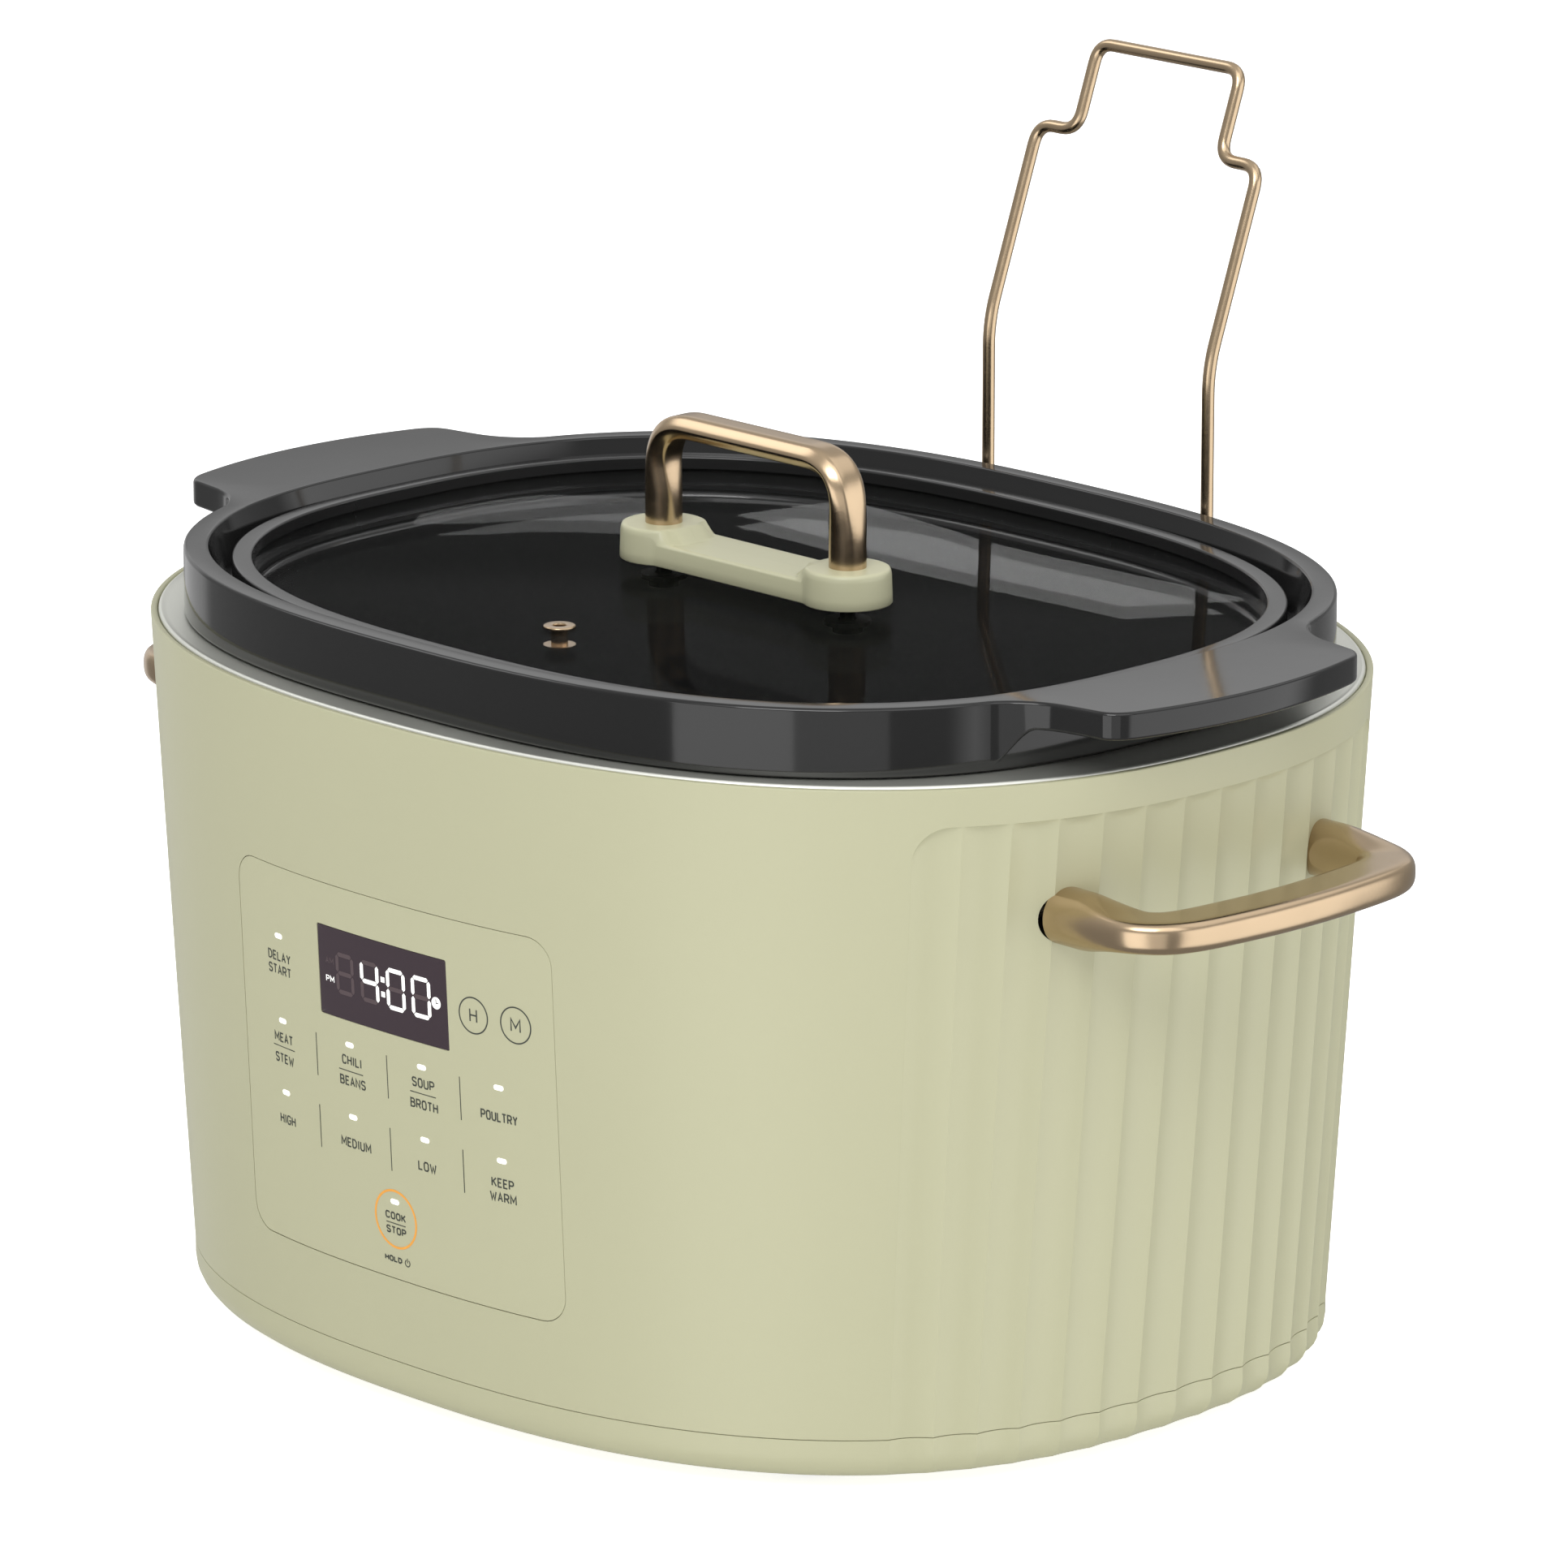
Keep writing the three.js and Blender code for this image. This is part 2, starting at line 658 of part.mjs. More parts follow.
// Wire rack: two straight rods that bend back, step in at the shoulders and join at the head.
function lidRack() {
  const leaning = (x, z) => [x, rackRodY + (z - rackBendZ) * Math.tan(rackLean), z];
  const half = [
    [rackRodX, rackRodY, rackFootZ],
    [rackRodX, rackRodY, rackBendZ, 8],
    [...leaning(rackRodX, rackShoulderZ), 6.5],
    [...leaning(rackHeadX, rackShoulderZ), 6.5],
    [...leaning(rackHeadX, rackTopZ), 6],
  ];
  const mirrored = [...half].reverse().map(([x, y, z, r]) => [-x, y, z, r]);
  const points = roundedPath([...half, ...mirrored]);
  return wire(points, wireRadius, 8);
}

// A round wire along a path that turns in more than one plane.
function wire(points, radius, sidesOfWire) {
  const curve = new THREE.CurvePath();
  for (let i = 1; i < points.length; i++) {
    if (points[i].distanceTo(points[i - 1]) > 1e-3) {
      curve.add(new THREE.LineCurve3(points[i - 1], points[i]));
    }
  }
  const stops = [curve.curves[0].v1, ...curve.curves.map((line) => line.v2)];
  const count = stops.length;
  let side = new THREE.Vector3(0, 1, 0);
  const rows = stops.map((point, i) => {
    const tangent = stops[Math.min(i + 1, count - 1)].clone()
      .sub(stops[Math.max(i - 1, 0)]).normalize();
    side = side.clone().addScaledVector(tangent, -side.dot(tangent)).normalize();
    const other = new THREE.Vector3().crossVectors(tangent, side);
    return { point, side, other, radius };
  });
  const tips = [{ ...rows[0], radius: 0 }, ...rows, { ...rows[count - 1], radius: 0 }];
  const geometry = new THREE.LatheGeometry(tips.map((_, j) => new THREE.Vector2(1, j)), sidesOfWire);
  const position = geometry.attributes.position;
  for (let i = 0; i <= sidesOfWire; i++) {
    const angle = ((i % sidesOfWire) / sidesOfWire) * 2 * Math.PI;
    tips.forEach((row, j) => {
      const spot = row.point.clone()
        .addScaledVector(row.side, Math.cos(angle) * row.radius)
        .addScaledVector(row.other, Math.sin(angle) * row.radius);
      position.setXYZ(i * tips.length + j, spot.x, spot.y, spot.z);
    });
  }
  return geometry;
}

function rackSocket(sx) {
  return turned([
    [0, 184], [2.9, 184], [2.9, 209.9], [2.3, 209.9], [2.3, 185.6], [0, 185.6],
  ], 12).translate(sx * rackRodX, rackRodY, 0);
}

// Side handle: two round feet on the scalloped end that flatten into a bowed bar.
function sideHandle(sx) {
  const outward = (x, y) => [sx * x, -sx * y, sideHandleZ];
  const path = new THREE.CatmullRomCurve3([
    [170, sideHandleY], [196, sideHandleY], [206.5, sideHandleY - 2.6], [213, sideHandleY - 11],
    [216, 20], [sideHandleReach, 0], [216, -20], [213, 11 - sideHandleY],
    [206.5, 2.6 - sideHandleY], [196, -sideHandleY], [170, -sideHandleY],
  ].map(([x, y]) => new THREE.Vector3(...outward(x, y)))).getPoints(22);
  const size = (point) => {
    const flat = THREE.MathUtils.smoothstep(Math.abs(point.x), 186, 206);
    return {
      halfWidth: sideHandleRadius,
      halfHeight: THREE.MathUtils.lerp(sideHandleRadius, 4.6, flat),
    };
  };
  const bar = sweptBar(path, new THREE.Vector3(0, 0, 1), size, 10);
  const body = ovalSolid([
    axisRow(150), housingRow(150, -gap), housingRow(192, -gap), axisRow(192),
  ], fluted);
  const screwHoles = ends.map(([, sy]) => {
    return rod(2.4, [sx * 170, sy * sideHandleY, sideHandleZ],
      [sx * 199, sy * sideHandleY, sideHandleZ], 10);
  });
  return cut(bar, body, ...screwHoles);
}

function handlePlate(sx) {
  const [near, far] = sx > 0 ? [172.6, 174.1] : [-174.1, -172.6];
  const holes = ends.map(([, sy]) => {
    return rod(2.5, [sx * 168, sy * sideHandleY, sideHandleZ],
      [sx * 178, sy * sideHandleY, sideHandleZ], 10);
  });
  return cut(block([near, -58, sideHandleZ - 8], [far, 58, sideHandleZ + 8]), ...holes);
}

// Cord gland: a bushing through the back wall, with a bore for the cord.
function cordGland() {
  const wallY = housingOutline(glandZ).halfY;
  const profile = [
    [3.6, wallY - 6.5], [8, wallY - 6.5], [8, wallY - 2.9], [5.6, wallY - 2.9],
    [5.6, wallY + 1], [9, wallY + 1], [8, wallY + 4], [3.6, wallY + 4], [3.6, wallY - 6.5],
  ];
  return turned(profile, 12).rotateX(-Math.PI / 2).translate(0, 0, glandZ);
}

// A flat circuit board with round holes.
function board(low, high, holes) {
  return holes.length ? cut(block(low, high), ...holes) : block(low, high);
}

// ---------- housing ----------
add('outer_shell', 'sage', outerShell());
add('base_tray', 'sage', baseTray());
for (const { name, x, y } of footSpots) {
  add(name, 'rubber', turned([[0, 0], [8, 0], [9.5, 1], [9.5, footHeight - gap],
    [3, footHeight - gap], [3, 9], [0, 9]], 12).translate(x, y, 0));
}
add('heating_liner', 'silver', heatingLiner());
add('main_heater', 'copper', linerBand(82, 118, 0.4, 1.6));
add('keep_warm_heater', 'copper', linerBand(126, 146, 0.4, 1.6));
add('insulation_wrap', 'insulation', linerBand(74, 182, 2.6, 4));
add('heat_shield', 'steel', heatShield());
add('liner_stud', 'steel', turned([[0, 5], [2.8, 5], [2.8, 52.3], [8, 52.3], [8, 54.3],
  [0, 54.3]], 12));
add('liner_nut', 'steel', turned([[3.6, 6.3], [6.2, 6.3], [6.2, 9.2], [3.6, 9.2], [3.6, 6.3]], 6));
add('temperature_sensor', 'steel', turned([[0, 49], [4, 49], [4, 51.5], [7, 51.5], [7, 54.2],
  [0, 54.2]], 16).translate(-45, -20, 0));
add('thermal_fuse', 'ivory', rod(2.2, [-58, 20, 51.2], [-32, 20, 51.2], 10));

add('control_overlay', 'overlay', controlOverlay());
add('display_lens', 'lens', overlap(frontRing(0, 2), frontPrism(display)));
add('display_module', 'component', block([-27, -143.9, 118], [27, boardFaceY - gap, 143.5]));
add('light_guide', 'ivory', block([-48, boardFaceY - 1.6, 62], [48, boardFaceY - gap, 112]));
add('control_board', 'board', board([-52, boardFaceY, 50], [52, boardFaceY + 1.6, 152],
  boardScrewSpots.map(([x, z]) => rod(1.6, [x, boardFaceY - 1, z], [x, boardFaceY + 3, z], 8))));
add('microcontroller', 'component', block([-7, boardFaceY + 1.9, 80], [7, boardFaceY + 3.3, 94]));
add('buzzer', 'component', rod(6, [-25, boardFaceY + 1.9, 62], [-25, boardFaceY + 6.9, 62], 16));
boardScrewSpots.forEach(([x, z], i) => {
  const piece = screw(2.8, 1.6, 1, 3.9).rotateX(Math.PI / 2);
  add(`board_screw_${i + 1}`, 'steel', piece.translate(x, boardFaceY + 3.5, z));
});

const boardTopZ = powerBoard.z + 1.6;
add('power_board', 'board', board(
  [powerBoard.x - powerBoard.width / 2, -powerBoard.depth / 2, powerBoard.z],
  [powerBoard.x + powerBoard.width / 2, powerBoard.depth / 2, boardTopZ],
  powerScrewSpots.map(([x, y]) => rod(1.6, [x, y, 14], [x, y, 20], 8))));
powerScrewSpots.forEach(([x, y], i) => {
  const piece = screw(2.8, 1.6, 0.9, 6).rotateX(Math.PI);
  add(`power_board_screw_${i + 1}`, 'steel', piece.translate(x, y, boardTopZ + gap + 1.6));
});
const onBoard = boardTopZ + gap;
add('transformer', 'copper', block([44, -22, onBoard], [74, 6, onBoard + 24]));
add('relay', 'component', block([84, -4, onBoard], [103, 12, onBoard + 16]));
add('capacitor', 'component', rod(6, [94, -20, onBoard], [94, -20, onBoard + 18], 16));
add('terminal_block', 'ivory', block([50, 14, onBoard], [76, 26, onBoard + 12]));

for (const [side, sx] of sides) {
  add(`side_handle_${side}`, 'champagne', sideHandle(sx));
  add(`handle_plate_${side}`, 'steel', handlePlate(sx));
  for (const [end, sy] of ends) {
    const piece = screw(3.6, 2.2, 2, 24).rotateY(sx * Math.PI / 2);
    add(`handle_screw_${end}_${side}`, 'steel', piece.translate(sx * 170.1, sy * sideHandleY,
      sideHandleZ));
  }
  add(`rack_socket_${side}`, 'steel', rackSocket(sx));
}
add('cord_gland', 'rubber', cordGland());

// ---------- crock, lid and rack ----------
add('crock', 'crock', crock());
add('lid_glass', 'glass', lidGlass());
add('lid_rim', 'black', lidRim());
add('pad_gasket', 'silicone', cut(plate(padShape(0.6), gasketBottomZ, gasketTopZ, 6),
  ...screwPassages(2.8)));
add('lid_handle_pad', 'sage', lidHandlePad());
add('lid_handle_bow', 'champagne', lidHandleBow());
for (const [side, sx] of sides) {
  add(`lid_screw_${side}`, 'steel', screw(4.5, 2, 2.3, 31)
    .translate(sx * handleLegX, 0, glassTopZ - 8.6));
  add(`lid_washer_${side}`, 'silicone', turned([[2.8, 0], [7, 0], [7, 1.3], [2.8, 1.3],
    [2.8, 0]], 16).translate(sx * handleLegX, 0, glassTopZ - 6.2));
}
add('steam_vent', 'champagne', steamVent());
add('lid_rack', 'champagne', lidRack());

// The origin is on the table, under the middle of the cooker's bounding box.
const bounds = new THREE.Box3().setFromObject(cooker);
cooker.position.y = -(bounds.min.y + bounds.max.y) / 2;

export default cooker;
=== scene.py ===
import json
from math import asin, cos, pi, radians, sin, sqrt, tan

import bmesh
import bpy
import numpy as np
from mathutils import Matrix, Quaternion, Vector


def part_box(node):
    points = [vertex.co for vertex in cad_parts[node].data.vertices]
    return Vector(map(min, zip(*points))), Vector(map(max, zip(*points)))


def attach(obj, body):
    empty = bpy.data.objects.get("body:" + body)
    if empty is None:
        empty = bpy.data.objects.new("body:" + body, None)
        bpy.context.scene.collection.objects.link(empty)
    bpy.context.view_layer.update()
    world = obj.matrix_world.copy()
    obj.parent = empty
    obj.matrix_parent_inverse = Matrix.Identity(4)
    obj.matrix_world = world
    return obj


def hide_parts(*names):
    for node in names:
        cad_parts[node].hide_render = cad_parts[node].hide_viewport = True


# Oval slow cooker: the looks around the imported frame. Metres, +Z up, the panel faces -Y.
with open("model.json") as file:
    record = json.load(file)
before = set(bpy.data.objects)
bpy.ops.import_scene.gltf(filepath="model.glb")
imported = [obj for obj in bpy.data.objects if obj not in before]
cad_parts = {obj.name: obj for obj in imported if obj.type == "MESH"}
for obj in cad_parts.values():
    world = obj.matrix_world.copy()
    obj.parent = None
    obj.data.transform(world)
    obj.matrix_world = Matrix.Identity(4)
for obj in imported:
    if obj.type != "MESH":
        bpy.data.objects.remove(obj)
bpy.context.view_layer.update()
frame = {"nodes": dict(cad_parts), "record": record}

# ---------- dimensions ----------
crock_low, crock_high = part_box("crock")
shell_low, shell_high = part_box("outer_shell")
tray_low, tray_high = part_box("base_tray")
rim_low, rim_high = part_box("lid_rim")
pad_low, pad_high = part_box("lid_handle_pad")
screw_low, screw_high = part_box("lid_screw_right")
gasket_low, gasket_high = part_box("pad_gasket")
socket_low, socket_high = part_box("rack_socket_right")
handle_low, handle_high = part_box("side_handle_right")
overlay_low, overlay_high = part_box("control_overlay")
lens_low, lens_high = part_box("display_lens")

axis_y = (crock_low.y + crock_high.y) / 2
gap = 0.0003

# housing: outlines are half length, half depth and the power of the superellipse
seam_z = (shell_low.z + tray_high.z) / 2
housing_top_z = shell_high.z
seam_outline = (0.1735, 0.1425, 2.445)
top_outline = (0.190, 0.1519, 2.3)
wall = 0.0024
lip = 0.0019
shelf_depth = 0.0015
seam_radius = 0.00025
seam_gap = 0.00012
lip_radius = 0.0006

# scallops at the two ends of the housing
flute_count = 7
flute_pitch = 0.01428
flute_depth = 0.0014
flute_top_z = 0.1987
flute_corner = 0.011
flute_run_in = 0.003

# crock
crock_outline = (0.171, 0.1401, 2.61)
rim_bottom_z = 0.2101
rim_top_z = crock_high.z
ledge_z = 0.2162
floor_z = 0.066
crock_wall = 0.007
rim_bevel = 0.0011
ear_reach = crock_high.x
ear_corner = (0.1978, 0.0435)
ear_root = (0.1618, 0.065)
ear_bottom_z = rim_top_z - 0.0084

# lid
ring_top_z = rim_high.z
glass_edge = 0.0174
glass_top_z = 0.2252
glass_drop = 0.003
glass_thickness = 0.004
leg_x = (screw_low.x + screw_high.x) / 2
leg_radius = 0.00555
lobe_radius = 0.0131
waist_half = 0.0110
waist_z = 0.2322
pad_z = pad_high.z + 0.0008
bow_top_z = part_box("lid_handle_bow")[1].z
vent_y = axis_y - 0.0779

# side handles
handle_y = 0.0513
handle_z = (handle_low.z + handle_high.z) / 2
handle_radius = 0.0083
handle_flat = 0.0046

# rack
wire_radius = 0.00194
rod_x = (socket_low.x + socket_high.x) / 2
rod_y = (socket_low.y + socket_high.y) / 2
rack_foot_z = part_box("lid_rack")[0].z
rack_bend_z = 0.2732
rack_shoulder_z = 0.3313
rack_top_z = 0.3571
rack_head_x = 0.0298
rack_lean = radians(19.9)

# control panel
panel_x = (overlay_low.x + overlay_high.x) / 2
panel_z = (overlay_low.z + overlay_high.z) / 2
panel_half = ((overlay_high.x - overlay_low.x) / 2, (overlay_high.z - overlay_low.z) / 2)
panel_radius = 0.0082
overlay_thickness = 0.0008
lens_z = (lens_low.z + lens_high.z) / 2
lens_half = (lens_high.x, (lens_high.z - lens_low.z) / 2)
lens_radius = 0.0005
lens_front, lens_back = 0.00005, 0.0007


# ---------- materials ----------
def linear(red, green, blue):
    """Linear colour of an sRGB one given as 0 to 255."""
    shares = [value / 255 for value in (red, green, blue)]
    return [s / 12.92 if s <= 0.04045 else ((s + 0.055) / 1.055) ** 2.4 for s in shares] + [1.0]


def set_inputs(node, **values):
    """Sets a node's sockets; an underscore stands for a space in a socket's name."""
    for socket, value in values.items():
        node.inputs[socket.replace("_", " ")].default_value = value


def noise(tree, scale, detail, stretch):
    """The value of a noise pattern that is fixed to the piece."""
    place = tree.nodes.new("ShaderNodeTexCoord")
    mapping = tree.nodes.new("ShaderNodeMapping")
    set_inputs(mapping, Scale=stretch)
    pattern = tree.nodes.new("ShaderNodeTexNoise")
    set_inputs(pattern, Scale=scale, Detail=detail)
    tree.links.new(place.outputs["Object"], mapping.inputs["Vector"])
    tree.links.new(mapping.outputs["Vector"], pattern.inputs["Vector"])
    return pattern.outputs["Fac"]


def surface(name, color, roughness, metallic=0.0, mottle=0.03, patch=25.0, uneven=0.04,
            grain=700.0, bump=0.02, stretch=(1.0, 1.0, 1.0), **sockets):
    """A material with faint colour mottling, uneven gloss and a fine grain."""
    material = bpy.data.materials.new(name)
    material.use_nodes = True
    tree = material.node_tree
    shader = tree.nodes["Principled BSDF"]
    set_inputs(shader, Metallic=metallic, **sockets)

    tint = tree.nodes.new("ShaderNodeMix")
    tint.data_type = "RGBA"
    set_inputs(tint, A=[c * (1 - mottle) for c in color[:3]] + [1.0],
               B=[c * (1 + mottle) for c in color[:3]] + [1.0])
    tree.links.new(noise(tree, patch, 4.0, stretch), tint.inputs["Factor"])
    tree.links.new(tint.outputs["Result"], shader.inputs["Base Color"])

    gloss = tree.nodes.new("ShaderNodeMapRange")
    set_inputs(gloss, To_Min=max(0.0, roughness - uneven), To_Max=roughness + uneven)
    tree.links.new(noise(tree, patch * 4, 4.0, stretch), gloss.inputs["Value"])
    tree.links.new(gloss.outputs["Result"], shader.inputs["Roughness"])

    relief = tree.nodes.new("ShaderNodeBump")
    set_inputs(relief, Strength=bump, Distance=0.001)
    tree.links.new(noise(tree, grain, 2.0, stretch), relief.inputs["Height"])
    tree.links.new(relief.outputs["Normal"], shader.inputs["Normal"])
    return material


def brushed(name, color, roughness, along, bump=0.03):
    """Metal with fine scratches that run along the axis with the small stretch value."""
    return surface(name, color, roughness, metallic=1.0, mottle=0.04, patch=60.0, uneven=0.05,
                   grain=900.0, bump=bump, stretch=along)


looks = {
    "sage": surface("sage_enamel", linear(178, 177, 146), 0.42, mottle=0.012, patch=14.0,
                    grain=1300.0, bump=0.035, Coat_Weight=0.12, Coat_Roughness=0.25),
    "pad": surface("sage_moulding", linear(197, 196, 164), 0.34, mottle=0.01, grain=1500.0,
                   bump=0.02),
    "overlay": surface("overlay_film", linear(179, 178, 147), 0.46, mottle=0.008, patch=18.0,
                       grain=2200.0, bump=0.02),
    "silver": brushed("spun_aluminium", linear(236, 237, 229), 0.48, (0.2, 0.2, 1.0)),
    "lens": surface("display_window", linear(58, 47, 53), 0.16, mottle=0.02, bump=0.004),
    "crock": surface("black_glaze", linear(26, 26, 26), 0.085, mottle=0.12, patch=9.0, uneven=0.02,
                     grain=160.0, bump=0.006),
    "black": surface("black_ring", linear(38, 38, 38), 0.13, mottle=0.1, uneven=0.03, grain=400.0,
                     bump=0.006),
    "glass": surface("lid_glass_clear", [0.02, 0.025, 0.022, 1.0], 0.01, uneven=0.005,
                     grain=60.0, bump=0.002, IOR=1.5, Alpha=0.035),
    "champagne": brushed("champagne_metal", linear(195, 172, 142), 0.23, (0.15, 1.0, 1.0), 0.01),
    "steel": brushed("screw_steel", linear(190, 190, 188), 0.28, (1.0, 0.3, 1.0)),
    "rubber": surface("foot_rubber", linear(38, 38, 38), 0.8, mottle=0.12, grain=500.0, bump=0.15),
    # painted shade: a near-black, low-gloss steel for the screws and washers under the lid's glass,
    # standing in for the dark inside of the crock round them rather than their own colour
    "painted_shade": surface("painted_shade_steel", linear(14, 14, 14), 0.7, mottle=0.1, patch=200.0,
                         Specular_IOR_Level=0.1),
    "silicone": surface("olive_silicone", linear(104, 101, 74), 0.6, mottle=0.05, bump=0.08),
    "board": surface("board_green", linear(34, 84, 48), 0.4, mottle=0.12, patch=180.0, bump=0.05),
    "component": surface("moulded_black", linear(36, 37, 40), 0.45, mottle=0.1, patch=90.0,
                         bump=0.08),
    "copper": brushed("wound_copper", linear(184, 115, 68), 0.35, (1.0, 1.0, 0.1)),
    "ivory": surface("ivory_moulding", linear(216, 213, 198), 0.5, mottle=0.03, patch=80.0),
    "insulation": surface("glass_felt", linear(214, 208, 186), 0.95, mottle=0.2, patch=300.0,
                          grain=500.0, bump=0.6),
    "ink": surface("printed_ink", linear(60, 64, 58), 0.5, mottle=0.06, patch=400.0),
    "orange": surface("printed_orange", linear(232, 160, 62), 0.45, mottle=0.05, patch=400.0),
    "lamp": surface("lit_window", linear(252, 252, 248), 0.3, mottle=0.01,
                    Emission_Color=[1.0, 1.0, 0.98, 1.0], Emission_Strength=0.35),
    "ghost": surface("unlit_segment", linear(84, 71, 74), 0.25, mottle=0.02),
}


# ---------- meshes ----------
def rotation_steps(count):
    """Evenly spaced angles round a full turn."""
    return np.arange(count) * 2 * pi / count


def add_object(name, data):
    thing = bpy.data.objects.new(name, data)
    bpy.context.scene.collection.objects.link(thing)
    return thing


def add_mesh(name, vertices, faces, sharp):
    """A smooth-shaded mesh with crisp edges where faces meet at more than sharp degrees."""
    mesh = bpy.data.meshes.new(name)
    mesh.from_pydata([tuple(v) for v in vertices], [], [tuple(f) for f in faces])
    piece = add_object(name, mesh)
    tidy_mesh(mesh, sharp)
    return piece


def add_piece(name, shape, look, body, node=None, sharp=32, weighted=True):
    """Makes a piece of [vertices, faces] and hangs it on its body. It may stand for a node."""
    piece = add_mesh(name, *shape, sharp)
    piece.data.materials.append(looks[look])
    if weighted:
        piece.modifiers.new("normals", "WEIGHTED_NORMAL").keep_sharp = True
    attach(piece, body)
    if node:
        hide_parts(node)
    return piece


def tidy_mesh(mesh, sharp):
    shape = bmesh.new()
    shape.from_mesh(mesh)
    bmesh.ops.remove_doubles(shape, verts=shape.verts, dist=1e-7)
    bmesh.ops.recalc_face_normals(shape, faces=shape.faces)
    shape.to_mesh(mesh)
    shape.free()
    mesh.shade_smooth()
    mesh.set_sharp_from_angle(angle=radians(sharp))


def loft(rows, ring=False):
    """Vertices and faces through rows of points; a row with one point is a pole."""
    vertices = [tuple(point) for row in rows for point in row]
    starts = np.cumsum([0] + [len(row) for row in rows])
    pairs = [(j, j + 1) for j in range(len(rows) - 1)]
    if ring:
        pairs.append((len(rows) - 1, 0))
    faces = []
    for a, b in pairs:
        count_a, count_b = len(rows[a]), len(rows[b])
        for i in range(max(count_a, count_b)):
            k = i + 1
            corners = [starts[a] + i % count_a, starts[a] + k % count_a,
                       starts[b] + k % count_b, starts[b] + i % count_b]
            faces.append([int(c) for c in dict.fromkeys(corners)])
    return vertices, faces


def cut(piece, *tools):
    """Takes the closed tool shapes out of the piece, one after another."""
    normals = piece.modifiers["normals"]
    normals.show_viewport = False
    for shape in tools:
        tool = add_mesh("tool", *shape, 30)
        step = piece.modifiers.new("cut", "BOOLEAN")
        step.operation = "DIFFERENCE"
        step.solver = "EXACT"
        step.object = tool
        bpy.context.view_layer.update()
        graph = bpy.context.evaluated_depsgraph_get()
        result = bpy.data.meshes.new_from_object(piece.evaluated_get(graph))
        piece.modifiers.remove(step)
        piece.data = result
        bpy.data.objects.remove(tool)
    normals.show_viewport = True
    piece.data.shade_smooth()
    piece.data.set_sharp_from_angle(angle=radians(32))


def arc(center, radius, start, end, steps=4):
    """Points [u, v] of an arc between two angles in degrees."""
    angles = np.radians(np.linspace(start, end, steps + 1))
    return [(center[0] + radius * cos(a), center[1] + radius * sin(a)) for a in angles]


def bezier(start, control, end, steps):
    """Points after the start of a curve that leaves it towards the control point."""
    shares = np.arange(1, steps + 1)[:, None] / steps
    a, b, c = (np.array(p, float) for p in (start, control, end))
    return (1 - shares) ** 2 * a + 2 * shares * (1 - shares) * b + shares ** 2 * c


def turned(profile, center, axis=(0, 0, 1), sides=48, ring=True):
    """A turned shape; the profile lists [radius, height along the axis from the centre]."""
    turn = Vector((0, 0, 1)).rotation_difference(Vector(axis))
    rows = []
    for radius, height in profile:
        angles = rotation_steps(sides) if radius > 0 else [0.0]
        spots = [Vector((radius * cos(a), radius * sin(a), height)) for a in angles]
        rows.append([turn @ spot + Vector(center) for spot in spots])
    return loft(rows, ring)


def drill(radius, low, high, center, axis=(0, 0, 1), sides=48):
    """A round bar between two heights along its axis, to cut a hole with."""
    return turned([(0, low), (radius, low), (radius, high), (0, high)], center, axis, sides, False)


def catmull(points, steps):
    """A smooth path through points."""
    knots = [2 * points[0] - points[1], *points, 2 * points[-1] - points[-2]]
    path = []
    for a, b, c, d in zip(knots, knots[1:], knots[2:], knots[3:]):
        for t in np.arange(steps) / steps:
            path.append(0.5 * (2 * b + (c - a) * t + (2 * a - 5 * b + 4 * c - d) * t ** 2
                               + (3 * b - a - 3 * c + d) * t ** 3))
    return [*path, points[-1]]


def rounded_path(corners, steps=7):
    """A path with rounded corners; each corner is a point and how far from it the bend starts."""
    points = [np.array(point, float) for point, _ in corners]
    path = [points[0]]
    for i in range(1, len(points) - 1):
        reach = corners[i][1]
        before, after = (points[i] + reach * (p - points[i]) / np.linalg.norm(p - points[i])
                         for p in (points[i - 1], points[i + 1]))
        path.extend([before, *bezier(before, points[i], after, steps)])
    return [*path, points[-1]]


def refine(path, longest):
    """The path with its long stretches split."""
    result = [path[0]]
    for a, b in zip(path, path[1:]):
        count = max(1, int(np.ceil(np.linalg.norm(b - a) / longest)))
        result.extend(a + (b - a) * k / count for k in range(1, count + 1))
    return result


def bar_section(angles, radius, half_width, half_height, bevel, flat):
    """A section that goes from round, where flat is 0, to a bevelled bar, where it is 1. The
    power sets how crisp the bar's edges are."""
    across, along = half_width * np.cos(angles), half_height * np.sin(angles)
    power = 14
    size = (np.abs(across / half_width) ** power + np.abs(along / half_height) ** power
            + ((np.abs(across) + np.abs(along)) / (half_width + half_height - bevel)) ** power)
    scale = size ** (-1 / power)
    return (radius * np.cos(angles) * (1 - flat) + across * scale * flat,
            radius * np.sin(angles) * (1 - flat) + along * scale * flat)


def sweep(path, normal, section_at, sides=64):
    """A bar along a path. section_at gives the points of its section, across the path in the
    plane at right angles to normal and along normal."""
    normal = np.array(normal, float)
    angles = rotation_steps(sides) + pi / sides
    rows = []
    for i, point in enumerate(path):
        tangent = path[min(i + 1, len(path) - 1)] - path[max(i - 1, 0)]
        side = np.cross(normal, tangent)
        side = side / np.linalg.norm(side)
        up = np.cross(tangent, side)
        up = up / np.linalg.norm(up)
        across, along = section_at(point, angles)
        rows.append(point + np.outer(across, side) + np.outer(along, up))
    return loft([[path[0]], *rows, [path[-1]]])


def smoothstep(value, low, high):
    """0 below low, 1 above high, and a smooth curve between."""
    share = np.clip((value - low) / (high - low), 0, 1)
    return share * share * (3 - 2 * share)


